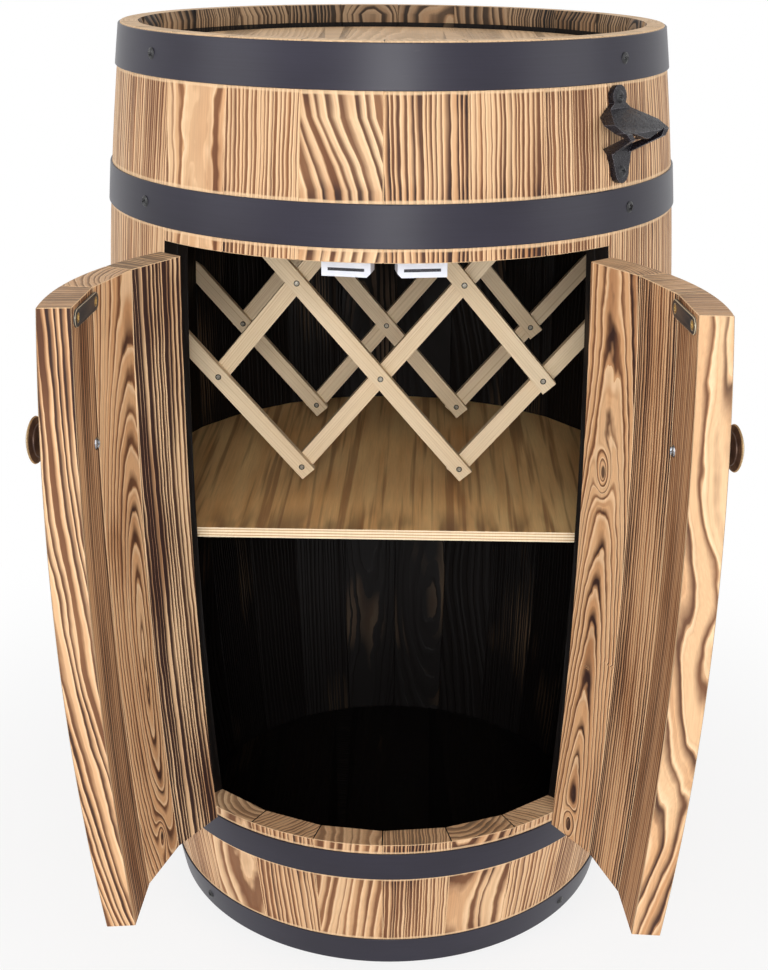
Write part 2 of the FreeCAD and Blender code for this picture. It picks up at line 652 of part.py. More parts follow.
def opener():
    """Cast wall opener with its two screws: a hood leans out to a lip and two arms return to the body."""
    lug, plate = OPENER_SCREW_SPACING / 2, OPENER_PLATE
    outline, mouth = opener_front()
    lugs = [cylinder(OPENER_LUG_RADIUS, plate, Vector(0, 0, v), Vector(0, -1, 0)) for v in (lug, -lug)]
    body = opener_side().common(outline).cut(mouth).fuse(lugs).removeSplitter()
    pins = [screw(PAN_SCREW_HEAD, PAN_SCREW_SHANK, PAN_SCREW_LENGTH, Vector(0, -plate, v), Vector(0, 1, 0))
            for v in (lug, -lug)]
    rise = outer_radius(OPENER_LEVEL - lug) - outer_radius(OPENER_LEVEL + lug)
    lean = Rotation(Vector(1, 0, 0), -degrees(atan2(rise, 2 * lug)))
    turn = Rotation(Vector(0, 0, 1), OPENER_ANGLE).multiply(lean)
    frame = Placement(outward(OPENER_ANGLE, outer_radius(OPENER_LEVEL) + HOOP_SEAT, OPENER_LEVEL), turn)
    return placed(body.cut(pins), frame), [placed(p, frame) for p in pins]


# ---------------------------------------------------------------- assembly

def near(shape, others):
    """Those of the other solids that a shape's box meets."""
    return [o for o in others if shape.BoundBox.intersect(o.BoundBox)]


def drilled(shape, pins):
    """A piece with the holes for the fasteners that pass through it."""
    pins = near(shape, pins)
    return shape.cut(pins) if pins else shape


def mirrored(shapes):
    return [s.mirror(Vector(), Vector(1, 0, 0)) for s in shapes]


def save(name, shapes):
    shapes = shapes if isinstance(shapes, list) else [shapes]
    solids = [solid for shape in shapes for solid in shape.Solids]
    result = solids[0] if len(solids) == 1 else Part.makeCompound(solids)
    result.exportStep("parts/" + name + ".step")


os.makedirs("parts", exist_ok=True)

# Pieces that cross other pieces come first, so that the wood can be drilled for them
hoop_tops = {"top_chime_hoop": HEIGHT - CHIME_HOOP_SETBACK, "upper_bulge_hoop": HEIGHT - UPPER_HOOP_DROP,
             "lower_bulge_hoop": LOWER_HOOP_TOP, "bottom_chime_hoop": HOOP_WIDTH + CHIME_HOOP_SETBACK}
band_screws = [s for top in hoop_tops.values() for s in hoop_screws(top)]
rivets = [s for top in hoop_tops.values() for s in lap_rivets(top)]
cleats, cleat_screws = zip(*[cleat(k) for k in CLEAT_STAVES])
cleat_screws = [s for group in cleat_screws for s in group]
space = inside_space(HEAD_RECESS + HEAD_THICKNESS + FIT_GAP, TOP_HEAD_BASE - FIT_GAP)
lattices = {"front": lattice(-FRONT_LATTICE_DEPTH, space), "rear": lattice(REAR_LATTICE_DEPTH, space)}
strike_plate, strike_screws = strike()
housing, magnet, catch_screws = catch()
block, block_screw = catch_block()
door_knob, knob_screw = knob()
hinges = [hinge(level) for level in (SILL_TOP + LOWER_HINGE_RISE, HEADER_BOTTOM - UPPER_HINGE_DROP)]
hinge_groups = [sum(groups, []) for groups in zip(*hinges)]
frame_leaves, frame_screws, pins, door_leaves, door_screws = hinge_groups
bottle_opener, opener_screws = opener()

# Shell
shell_pins = band_screws + cleat_screws + opener_screws + frame_screws + mirrored(frame_screws)
shell_pins += block_screw + mirrored(block_screw)
for k in range(DOOR_STAVES, STAVES - DOOR_STAVES):
    save("stave_%02d" % (k - DOOR_STAVES + 1), drilled(stave(k), shell_pins))
front = range(-DOOR_STAVES, DOOR_STAVES)
save("header_staves", [drilled(stave(k, HEADER_BOTTOM, HEIGHT), shell_pins) for k in front])
save("sill_staves", [drilled(stave(k, 0.0, SILL_TOP), shell_pins) for k in front])
save("top_head_boards", head(TOP_HEAD_BASE))
save("bottom_head_boards", head(HEAD_RECESS))
for name, top in hoop_tops.items():
    save(name, drilled(hoop(top), band_screws + rivets))
save("pan_head_screws", band_screws + opener_screws)
save("hoop_rivets", rivets)

# Fittings inside the shell
save("shelf", shelf())
save("shelf_cleats", [drilled(c, cleat_screws) for c in cleats])
save("cleat_screws", cleat_screws)
for name, (falling, rising, screws) in lattices.items():
    save(name + "_lattice_falling_slats", [drilled(s, screws) for s in falling])
    save(name + "_lattice_rising_slats", [drilled(s, screws) for s in rising])
save("lattice_screws", lattices["front"][2] + lattices["rear"][2])
block = [drilled(b, catch_screws + block_screw) for b in block]
save("catch_blocks", block + mirrored(block))
save("catch_housings", housing + mirrored(housing))
save("catch_magnets", magnet + mirrored(magnet))
save("catch_screws", catch_screws + block_screw + mirrored(catch_screws + block_screw))
save("hinge_frame_leaves", frame_leaves + mirrored(frame_leaves))
save("hinge_frame_screws", frame_screws + mirrored(frame_screws))
save("hinge_pins", pins + mirrored(pins))
save("bottle_opener", bottle_opener)

# Doors, swung open
door_pins = door_screws + strike_screws + [knob_screw]
door_staves = [drilled(right_door_stave(k), door_pins) for k in range(DOOR_STAVES)]
for side, hand in ((-1, "left"), (1, "right")):
    for place, piece in zip(("meeting", "middle", "hinge"), door_staves):
        save("%s_door_%s_stave" % (hand, place), opened(piece, side))
    save(hand + "_door_hinge_leaves", [opened(s, side) for s in door_leaves])
    save(hand + "_door_screws", [opened(s, side) for s in door_screws + strike_screws])
    save(hand + "_strike_plate", opened(strike_plate, side))
    save(hand + "_knob", opened(door_knob, side))
    save(hand + "_knob_screw", opened(knob_screw, side))
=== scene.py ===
import json
from math import atan2, cos, pi, radians, sin
import bmesh
import bpy
import numpy as np
from mathutils import Matrix, Vector


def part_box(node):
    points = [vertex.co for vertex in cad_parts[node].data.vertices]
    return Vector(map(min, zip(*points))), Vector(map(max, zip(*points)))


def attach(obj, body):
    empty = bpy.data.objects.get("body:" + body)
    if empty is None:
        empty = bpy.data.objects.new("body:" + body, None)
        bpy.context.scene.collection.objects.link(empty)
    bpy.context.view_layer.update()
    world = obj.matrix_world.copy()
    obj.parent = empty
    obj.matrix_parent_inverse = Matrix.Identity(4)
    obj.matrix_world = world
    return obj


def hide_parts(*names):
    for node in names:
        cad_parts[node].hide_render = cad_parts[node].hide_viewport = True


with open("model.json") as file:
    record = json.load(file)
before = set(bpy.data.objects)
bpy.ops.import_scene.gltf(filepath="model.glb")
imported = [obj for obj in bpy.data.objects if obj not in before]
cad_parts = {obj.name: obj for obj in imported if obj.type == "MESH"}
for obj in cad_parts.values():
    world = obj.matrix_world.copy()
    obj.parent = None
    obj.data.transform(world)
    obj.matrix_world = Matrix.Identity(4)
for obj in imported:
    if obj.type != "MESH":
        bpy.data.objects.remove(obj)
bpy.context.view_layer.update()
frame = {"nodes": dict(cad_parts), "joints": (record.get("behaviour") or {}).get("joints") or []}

# ---- Shell staves ----
# Eighteen whole staves of torched and brushed pine, 28.5 mm thick at the belly and 18 mm at the chimes.
# They are bevelled on both edges, bent so that they meet all round, and held only by the hoops.
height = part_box("stave_09")[1].z
belly_radius, chime_radius = 0.2519, 0.2189
belly_thickness, chime_thickness = 0.0285, 0.018
staves_round = 24
stave_step = radians(360 / staves_round)
joint_gap = 0.00004
arris = 0.0005
chime_bevel = 0.004
bevel_start = height - 2 * chime_bevel
head_recess = 0.0185
# How near black the barrel's inside goes: partly real charring, partly painted shade of the deep interior.
inner_char_and_shade = 0.9
crease = radians(30)
arc_points = 9
hoop_nodes = ("top_chime_hoop", "upper_bulge_hoop", "lower_bulge_hoop", "bottom_chime_hoop")


def bulge(level, belly, end):
    """Radius at a level: belly - arc + sqrt(arc ** 2 - (level - height / 2) ** 2), where the arc is the
    radius of a circle through the belly radius half way up and the end radius at both ends."""
    sag = belly - end
    arc = ((height / 2) ** 2 + sag ** 2) / (2 * sag)
    return belly - arc + np.sqrt(arc ** 2 - (level - height / 2) ** 2)


def outer_radius(level):
    """Radius of the barrel's outside at a level."""
    return bulge(level, belly_radius, chime_radius)


def inner_radius(level):
    """Radius of the barrel's inside at a level."""
    return bulge(level, belly_radius - belly_thickness, chime_radius - chime_thickness)


def round_barrel(across, outward, level, middle):
    """Places a plank's points at an angle round the barrel: x is across * cos + outward * sin of the angle
    and y is across * sin - outward * cos."""
    x = across * cos(middle) + outward * sin(middle)
    y = across * sin(middle) - outward * cos(middle)
    return np.stack([x, y, level + 0 * x], axis=-1)


def in_scene(name, data):
    """A new object for a mesh, a lamp or a camera."""
    thing = bpy.data.objects.new(name, data)
    bpy.context.scene.collection.objects.link(thing)
    return thing


def new_piece(name, points, faces):
    """An object from points and faces, smooth but for its sharper creases."""
    mesh = bpy.data.meshes.new(name)
    mesh.from_pydata(points.reshape(-1, 3).tolist(), [], faces)
    mesh.shade_smooth()
    mesh.set_sharp_from_angle(angle=crease)
    return in_scene(name, mesh)


def dress(piece, node, material, body="carcass"):
    """Lets a piece stand for a CAD node and move with a body, in a material."""
    piece.data.materials.append(material)
    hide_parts(node)
    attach(piece, body)


def grid_faces(rows, columns, open_rows=1, open_columns=0):
    """Faces of a grid of points. Where rows or columns aren't open, the last ones meet the first."""
    row, column = np.meshgrid(np.arange(rows - open_rows), np.arange(columns - open_columns), indexing="ij")
    here, above, after = row * columns, (row + 1) % rows * columns, (column + 1) % columns
    return np.stack([here + column, here + after, above + after, above + column], axis=-1).reshape(-1, 4)


def write_field(mesh, name, kind, domain, values):
    """Stores one number or vector for each point or face of a mesh."""
    layer = mesh.attributes.new(name, kind, domain)
    part = "vector" if kind == "FLOAT_VECTOR" else "value"
    layer.data.foreach_set(part, np.ravel(values).astype(np.float32))


def face_field(piece, name, values):
    """Stores a number for each face of a piece, or one for all."""
    write_field(piece.data, name, "FLOAT", "FACE", np.zeros(len(piece.data.polygons)) + values)


def plank(kind, seed, **changes):
    """How one plank was sawn and torched.

    The pith is where the log's middle lies, across and deep. It leans by the tilt and sways by the bow,
    which is an amount across, an amount deep, a length and a start. The spacing is the width of a ring,
    the wander how uneven it is and the share how much of it is burnt. A flare is a line along the plank
    that took more of the torch: its place across, its width and its amount.
    """
    pick = np.random.default_rng(seed)
    side, lean, start = pick.choice((-1, 1)), tuple(pick.uniform(-0.02, 0.02, 2)), pick.uniform(0, 1)
    kinds = {"straight": dict(pith=(0.21, -0.02), spacing=0.0042, wander=0.0040, burn=0.60, share=0.52),
             "fine": dict(pith=(0.23, 0.01), spacing=0.0030, wander=0.0026, burn=0.54, share=0.52),
             "even": dict(pith=(0.13, -0.09), spacing=0.0042, wander=0.0070, burn=0.54, share=0.48),
             "flowing": dict(pith=(0.12, -0.04), spacing=0.0088, wander=0.0150, burn=0.54, share=0.46,
                             tilt=(side * 0.08, 0.0), bow=(0.008, 0.008, 0.37, start)),
             "wavy": dict(pith=(0.02, -0.055), spacing=0.0058, wander=0.0120, burn=0.54, share=0.42,
                          bow=(0.003, 0.010, 0.42, start)),
             "plain": dict(pith=(0.006, -0.055), spacing=0.0034, wander=0.0070, burn=0.46, share=0.36,
                           bow=(0.003, 0.004, 0.50, start))}
    sawn = dict(seed=seed, tilt=lean, tone=pick.uniform(0.18, 0.40), bow=(0.0, 0.0, 1.0, 0.0), knots=(),
                flares=())
    sawn.update(kinds[kind])
    sawn["pith"] = (side * sawn["pith"][0], sawn["pith"][1])
    sawn.update(changes)
    return sawn


def grain(across, depth, along, sawn):
    """Each point's place in the plank's log, measured from the pith, with the plank's rings and torching.

    A knot is a second place, measured in knot sizes from the middle of the nearest knot; a plank without
    one holds it far away. Each seed takes its plank from another height of the log.
    """
    seed_lift, no_knot, knot_stretch = 1.37, 9.0, 2.4
    sway_across, sway_deep, length, start = sawn["bow"]
    wave = np.sin(2 * pi * (along / length + start))
    log = np.stack([across - sawn["pith"][0] - sawn["tilt"][0] * along - sway_across * wave,
                    depth - sawn["pith"][1] - sawn["tilt"][1] * along - sway_deep * wave,
                    along + seed_lift * sawn["seed"]], axis=-1)
    knot = np.full(log.shape, no_knot)
    for knot_across, knot_along, size in sawn["knots"]:
        place = np.stack([across - knot_across, 0 * across, (along - knot_along) / knot_stretch], axis=-1)
        place = place / size
        nearer = np.linalg.norm(place, axis=-1) < np.linalg.norm(knot, axis=-1)
        knot[nearer] = place[nearer]
    rings = np.broadcast_to([sawn["spacing"], sawn["wander"], sawn["share"]], log.shape)
    torch = np.array(np.broadcast_to([sawn["tone"], sawn["burn"], 0.0], log.shape))
    for where, width, amount in sawn["flares"]:
        torch[..., 2] += amount * np.exp(-((across - where) / width) ** 2)
    return {"log": log, "knot": knot, "rings": rings, "torch": torch}


def lay_grain(mesh, fields):
    """Stores a plank's grain on the points of a mesh."""
    for name, values in fields.items():
        write_field(mesh, name, "FLOAT_VECTOR", "POINT", values)


def stave_points(levels, insets, trims):
    """Section of a stave at each level: an arc outside, a flat inside, radial edges and cut arrises.

    Trims are how far each radial edge stands back from its plane, and insets how far the whole section
    shrinks at that level. Near the top the inside keeps at least the radius of the chime's bevel, a cone.
    """
    half, bevel_slope = stave_step / 2, 0.5
    z, inset = np.array(levels)[:, None], np.array(insets)[:, None]
    back = [trim + inset for trim in trims]
    outer, inner = outer_radius(z) - inset, inner_radius(z) + inset
    share = np.linspace(0, 1, arc_points)[None, :]
    left = np.arcsin(back[0] / outer) - half + arris / outer
    right = half - np.arcsin(back[1] / outer) - arris / outer
    angle = left + (right - left) * share
    arc = (outer * np.sin(angle), outer * np.cos(angle))
    reach = [(inner - b * sin(half)) / cos(half) for b in back]
    edges = []
    for side, b, r in ((-1, back[0], reach[0]), (1, back[1], reach[1])):
        along = np.concatenate([outer - arris, r + arris], axis=1)
        edges.append((side * (along * sin(half) - b * cos(half)), along * cos(half) + b * sin(half)))
    flat_left, flat_right = (-(reach[0] * sin(half) - back[0] * cos(half)) + arris,
                             reach[1] * sin(half) - back[1] * cos(half) - arris)
    flat_t = flat_right + (flat_left - flat_right) * share
    flat_n = inner + 0 * flat_t
    thin = chime_radius - chime_thickness
    cone = thin + bevel_slope * np.maximum(z - bevel_start, 0)
    lift = np.maximum(np.hypot(flat_t, flat_n), cone) / np.hypot(flat_t, flat_n)
    lift[z[:, 0] < bevel_start] = 1
    flat_t, flat_n = flat_t * lift, flat_n * lift
    across = np.concatenate([arc[0], edges[1][0], flat_t, edges[0][0][:, ::-1]], axis=1)
    outward = np.concatenate([arc[1], edges[1][1], flat_n, edges[0][1][:, ::-1]], axis=1)
    return across, outward, z + 0 * across


def stave(name, node, index, low, high, sawn, trims=(joint_gap, joint_gap), inside_char_and_shade=0.0, edge_sawn=None,
          body="carcass"):
    """One stave or cut piece of a stave between two levels, with its grain and its inner face charred near
    black, which also paints the shade inside the barrel.

    A sawn edge that shows may have a grain of its own. The section's points run along the arc, down one
    edge, back along the flat and up the other edge, and a lid of quads closes each end.
    """
    level_gap, least_levels, rim_char, end_wear = 0.014, 4, 0.58, 0.35
    count = max(least_levels, int((high - low) / level_gap))
    levels = [low] + list(np.linspace(low + arris, high - arris, count)) + [high]
    insets = [arris] + [0.0] * count + [arris]
    if high > height - arris:
        levels[-1:-1] = [bevel_start]
        insets[-1:-1] = [0.0]
        order = np.argsort(levels, kind="stable")
        levels, insets = [levels[k] for k in order], [insets[k] for k in order]
    middle = (index + 0.5) * stave_step
    across, outward, level = stave_points(levels, insets, trims)
    arc, (rows, columns) = arc_points, across.shape
    faces = grid_faces(rows, columns)
    ring = np.arange(arc - 1)
    lid = np.stack([ring, ring + 1, 2 * arc - ring, 2 * arc + 1 - ring], axis=-1)
    lid_sides = [[arc - 1, arc, arc + 1, arc + 2], [2 * arc + 2, 2 * arc + 3, 0, 2 * arc + 1]]
    lid = np.concatenate([lid, lid_sides])
    top = lid + (rows - 1) * columns
    piece = new_piece(name, round_barrel(across, outward, level, middle),
                      faces.tolist() + lid[:, ::-1].tolist() + top.tolist())
    fields = grain(across, outward - outer_radius(level), level - height / 2, sawn)
    if edge_sawn:
        edges = [arc, arc + 1, 2 * arc + 2, 2 * arc + 3]
        into = outward - outer_radius(level) + belly_thickness / 2
        for field, values in grain(into, 0 * across, level - height / 2, edge_sawn).items():
            fields[field] = np.array(fields[field])
            fields[field][:, edges] = values[:, edges]
    lay_grain(piece.data, fields)
    column = faces[:, 0] % columns
    row_level = level[faces[:, 0] // columns, 0]
    inside = (column >= arc) & (column <= 2 * arc + 2)
    rim = row_level > height - head_recess
    # Inner faces below the rim take the inside value, charring and painted shade together; the rim's inside
    # is charred only.
    char_and_shade = np.where(inside, np.where(rim, rim_char * (inside_char_and_shade > 0), inside_char_and_shade), 0.0)
    cut = (column == arc - 1) | (column == arc + 1) | (column == 2 * arc + 1) | (column == 2 * arc + 3)
    cut |= (faces[:, 0] < columns) | (faces[:, 0] >= (rows - 2) * columns)
    ends = np.zeros(2 * len(lid))
    face_field(piece, "char_and_shade", np.concatenate([char_and_shade, ends]))
    face_field(piece, "worn", np.concatenate([cut.astype(float), ends + end_wear]))
    dress(piece, node, torched_pine, body)
    return piece


def colour(red, green, blue):
    """A colour as it looks on a screen, 0 to 255, turned by the sRGB curve into what shaders take."""
    screen = np.array([red, green, blue]) / 255
    linear = np.where(screen < 0.04045, screen / 12.92, ((screen + 0.055) / 1.055) ** 2.4)
    return (*linear.tolist(), 1.0)


class Field:
    """Something that varies over a surface: one output of a material's nodes, with arithmetic on it."""

    def __init__(self, tree, socket=None):
        self.tree, self.socket = tree, socket

    def node(self, kind, sockets=None, output=0, **settings):
        """Adds any node: its settings first, then values or links for its sockets; gives one output."""
        made = self.tree.nodes.new("ShaderNode" + kind)
        for key, value in settings.items():
            setattr(made, key, value)
        for key, value in (sockets or {}).items():
            if isinstance(value, Field):
                self.tree.links.new(value.socket, made.inputs[key])
            else:
                made.inputs[key].default_value = value
        return Field(self.tree, made.outputs[output])

    def maths(self, operation, *values):
        return self.node("Math", dict(enumerate(values)), operation=operation)

    def __add__(self, other):
        return self.maths("ADD", self, other)

    __radd__ = __add__

    def __sub__(self, other):
        return self.maths("SUBTRACT", self, other)

    def __rsub__(self, other):
        return self.maths("SUBTRACT", other, self)

    def __mul__(self, other):
        return self.maths("MULTIPLY", self, other)

    __rmul__ = __mul__

    def __truediv__(self, other):
        return self.maths("DIVIDE", self, other)

    def __rtruediv__(self, other):
        return self.maths("DIVIDE", other, self)

    def __pow__(self, other):
        return self.maths("POWER", self, other)

    def clamped(self, low=0.0, high=1.0):
        return self.maths("MINIMUM", self.maths("MAXIMUM", self, low), high)

    def step(self, start, end):
        """Smooth rise from 0 at the start to 1 at the end, or a fall where the end comes first."""
        low, high, flip = (start, end, False) if start < end else (end, start, True)
        rise = self.node("MapRange", {"Value": self, "From Min": low, "From Max": high},
                         interpolation_type="SMOOTHSTEP")
        return 1 - rise if flip else rise

    def parts(self):
        """The three numbers of a vector."""
        split = self.node("SeparateXYZ", {"Vector": self})
        return [Field(self.tree, out) for out in split.socket.node.outputs]

    def attribute(self, name, output="Vector"):
        return self.node("Attribute", output=output, attribute_name=name)

    def noise(self, scale=1.0, detail=2.0):
        """Noise from 0 to 1 over a vector; the scale, or one for each part, is how often it changes."""
        if isinstance(scale, tuple):
            return self.node("VectorMath", {0: self, 1: scale}, operation="MULTIPLY").noise(detail=detail)
        return self.node("TexNoise", {"Vector": self, "Scale": scale, "Detail": detail})

    def ripple(self, scale=1.0, detail=2.0):
        """Noise about zero over a vector."""
        return self.noise(scale, detail) - 0.5

    def drift(self, scale=1.0, detail=2.0):
        """Noise about zero along a single number."""
        sockets = {"W": self, "Scale": scale, "Detail": detail}
        return self.node("TexNoise", sockets, noise_dimensions="1D") - 0.5

    def dice(self):
        """One random number for each value, the same wherever the value is the same."""
        return self.node("TexWhiteNoise", {"W": self}, noise_dimensions="1D")

    def mix(self, first, second):
        """Colour that goes from the first to the second as this value goes from 0 to 1.

        Each is either a field or a colour as it looks on a screen.
        """
        first, second = (colour(*c) if isinstance(c, tuple) else c for c in (first, second))
        return self.node("Mix", {"Factor": self, 6: first, 7: second}, output=2, data_type="RGBA")

    def lightened(self, value):
        """The colour made lighter or darker by a factor."""
        return self.node("HueSaturation", {"Color": self, "Value": value})

    def object_place(self):
        """Where each point of the piece lies, in metres."""
        return self.node("TexCoord", output="Object")


def finish(name, **constants):
    """A new material for a slot: gives it, a field to start its nodes from, and a way to plug in results."""
    material = bpy.data.materials.new(name)
    material.use_nodes = True
    tree = material.node_tree
    shader = tree.nodes["Principled BSDF"]
    for key, value in constants.items():
        shader.inputs[key.replace("_", " ")].default_value = value

    def plug(bump=None, bump_height=0.001, **fields):
        for key, field in fields.items():
            tree.links.new(field.socket, shader.inputs[key.replace("_", " ")])
        if bump:
            relief = bump.node("Bump", {"Height": bump, "Distance": bump_height, "Strength": 1.0})
            tree.links.new(relief.socket, shader.inputs["Normal"])

    return material, Field(tree), plug


# Torched pine: the hard wood of each ring is burnt brown from one sharp edge and fades into the cream soft
# wood, with a painted highlight just before that edge; knots are dark with the rings flowing round them, and
# the torch stayed off a line beside each hoop.
torched_pine, wood, plug = finish("torched_pine", IOR=1.28)
cream, amber, umber = (227, 190, 149), (205, 156, 112), (160, 113, 78)
toast, bark, scorch = (152, 98, 58), (98, 57, 35), (44, 25, 24)
soot_and_shade, bare, painted_glint = (14, 10, 9), (236, 200, 158), (244, 212, 172)

# A scale is how often a metre the noise changes across, through and along the log, and a reach how far it
# moves the rings. An edge is where something starts and is complete, and a strength how much it shows.
sway_scale, shake_scale, quiver_scale = (11, 11, 3.4), (70, 70, 11), (75, 75, 34)
patch_scale, smoke_scale, lick_scale = (16, 16, 5.0), (5, 5, 2.0), (34, 34, 7.0)
fibre_scale, pore_scale = (900, 900, 16), (420, 420, 60)
sway_reach, shake_reach, quiver_reach = 2.6, 0.25, 0.0026
season_rate, season_reach, next_dice = 0.31, 1.5, 31.7
knot_limit, knot_hold, knot_push, heart_edge = 60, 0.35, 0.011, (0.35, 0.12)
pale_edge, halo_edge, edge_wander = (0.0030, 0.0016), (0.020, 0.003), 0.002
ring_rise, least_fade, more_fade = 0.13, 0.24, 0.26
hair_rate, hair_edge, hair_strength = 2.3, (0.0, 0.16), 0.55
painted_glint_edge, painted_glint_strength, blush_strength, heart_strength = (0.74, 0.97), 0.55, 0.6, 0.85
pale_strength, worn_strength = 0.7, 0.75

log = wood.attribute("log")
log_x, log_y, _ = log.parts()
spacing, wander, share = wood.attribute("rings").parts()
tone, burn, flare = wood.attribute("torch").parts()
char_and_shade, worn = wood.attribute("char_and_shade", "Fac"), wood.attribute("worn", "Fac")
knot_x, _, knot_z = wood.attribute("knot").parts()
knot_far = (knot_x ** 2 + knot_z ** 2).clamped(0, knot_limit)
knot_pull = wood.maths("POWER", 2.718, knot_far * -knot_hold)
sway = log.ripple(sway_scale, detail=1.0)
shake = log.ripple(shake_scale, detail=1.0)
quiver = log.ripple(quiver_scale)
radius = (log_x ** 2 + log_y ** 2) ** 0.5 + sway * wander * sway_reach + shake * wander * shake_reach
radius = radius + quiver * quiver_reach + knot_pull * knot_push
ring_place = radius / spacing
ring_place = ring_place + (ring_place * season_rate).drift() * season_reach
ring, within = wood.maths("FLOOR", ring_place), wood.maths("FRACT", ring_place)
luck, fortune = ring.dice(), (ring + next_dice).dice()
patches = log.ripple(patch_scale)
smoke = log.ripple(smoke_scale, detail=1.0)
licks = log.ripple(lick_scale)
object_z = wood.object_place().parts()[2]
pale, halo = 0, 0
for node in hoop_nodes:
    low, high = (corner.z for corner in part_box(node))
    level = object_z + (patches + licks) * edge_wander
    away = wood.maths("ABSOLUTE", level - (low + high) / 2) - (high - low) / 2
    pale = away.step(*pale_edge) + pale
    halo = away.step(*halo_edge) + halo
halo = halo * (smoke + patches).step(0.0, 0.30) * burn
fade_start = share * (0.30 + 0.8 * luck + licks * 1.4 + patches * 0.8 + flare * 0.8)
faded = ((within - fade_start) / (least_fade + more_fade * fortune)).clamped()
band = within.step(0.0, ring_rise) * (1 - faded)
hair_lines = (ring_place * hair_rate).drift(detail=1.0).step(*hair_edge) * (0.5 + licks)
fibre = log.ripple(fibre_scale)
pores = log.ripple(pore_scale, detail=1.0)

# Each sum weighs several kinds of unevenness against what the plank itself was given.
heat = burn + patches * 0.7 + smoke * 0.7 + licks * 0.5 + (fortune - 0.5) * 0.3 + flare + halo * 0.8
heat = heat.clamped()
warm = (tone + smoke * 0.5 + licks * 0.3 + (luck - 0.5) * 0.3 + heat.step(0.7, 1.0) * 0.25).clamped()
blush = ((licks + patches * 0.8 + burn * 0.12).step(0.12, 0.38) * burn + halo * 0.8).clamped()
body_colour = warm.step(0.5, 1.0).mix((warm * 2).clamped().mix(cream, amber), umber)
stripe_colour = heat.step(0.55, 1.0).mix((heat * 1.8).clamped().mix(toast, bark), scorch)
body_colour = (blush * blush_strength).mix(body_colour, toast)
body_colour = (hair_lines * hair_strength).mix(body_colour, toast)
# Painted highlight: a pale glint just before the burnt edge of each ring, where raised grain would catch the
# light.
body_colour = (within.step(*painted_glint_edge) * (1 - blush) * painted_glint_strength).mix(body_colour, painted_glint)
burnt = (band * (0.78 + 0.2 * heat)).mix(body_colour, stripe_colour)
burnt = (knot_far.step(*heart_edge) * heart_strength).mix(burnt, scorch)
unburnt_unshaded = (1 - char_and_shade).clamped()
burnt = (pale.clamped() * unburnt_unshaded * pale_strength).mix(burnt, bare)
burnt = (worn * unburnt_unshaded * worn_strength).mix(burnt, bare)
# Charred faces go toward soot; inside the barrel this near black is also painted shade.
soot_and_shade_amount = (char_and_shade * 1.40 + patches * 0.7 + band * 0.3 - 0.20).clamped()
burnt = (soot_and_shade_amount * char_and_shade.step(0.1, 0.5)).mix(burnt, soot_and_shade)
plug(bump=band * 0.75 + fibre * 0.35, bump_height=0.0005, Roughness=0.50 + band * 0.10 + fibre * 0.2,
     Base_Color=burnt.lightened(1 + fibre * 0.34 + pores * 0.10))

door_side = 3
shell_kinds = ["even", "fine", "flowing", "wavy", "plain", "straight"]
beside_doorway = {1: "fine", 2: "even", 17: "even", 18: "fine"}
for number, index in enumerate(range(door_side, staves_round - door_side), start=1):
    kind = beside_doorway.get(number, shell_kinds[number % len(shell_kinds)])
    stave("pine_stave_%02d" % number, "stave_%02d" % number, index, 0.0, height, plank(kind, number),
          inside_char_and_shade=inner_char_and_shade)

# ---- Header and sill ----
# The six staves in front are sawn through twice. Their upper ends carry the rim above the doorway and
# their lower ends make the sill; the sawn ends show the growth rings.
header_bottom, sill_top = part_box("header_staves")[0].z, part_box("sill_staves")[1].z
header_sawn = [plank("plain", 40, tone=0.36, burn=0.62, spacing=0.0030, flares=((0.002, 0.009, -0.7),)),
               plank("fine", 41, tone=0.25, spacing=0.0034, wander=0.0050),
               plank("flowing", 42, tone=0.12, tilt=(-0.18, 0.0), bow=(0.007, 0.004, 0.13, 0.946)),
               plank("straight", 43, tone=0.30, burn=0.70),
               plank("straight", 44, tone=0.30, burn=0.58, spacing=0.0037),
               plank("fine", 45, tone=0.26, burn=0.54)]
sill_kinds, first_sill_seed = ("wavy", "even", "flowing", "fine", "wavy", "even"), 50
sill_sawn = [plank(kind, seed) for seed, kind in enumerate(sill_kinds, start=first_sill_seed)]
short_pieces = (("header", header_bottom, height, header_sawn), ("sill", 0.0, sill_top, sill_sawn))
for place in range(2 * door_side):
    for part, low, high, sawn in short_pieces:
        stave("%s_stave_%d" % (part, place + 1), part + "_staves", place - door_side, low, high, sawn[place],
              inside_char_and_shade=inner_char_and_shade)

# ---- Heads ----
# Two round heads of five butted pine boards, held by a tongue in a groove of the staves. The upper one is
# the bar top inside the rim; the lower one is the floor of the compartment.


def merged(node):
    """A copy of the CAD node, its loose triangles joined into shells with whole flat faces."""
    same_place, same_plane = 1e-6, radians(1)
    shell = bmesh.new()
    shell.from_mesh(frame["nodes"][node].data)
    bmesh.ops.remove_doubles(shell, verts=shell.verts, dist=same_place)
    bmesh.ops.dissolve_limit(shell, angle_limit=same_plane, verts=shell.verts, edges=shell.edges)
    return shell


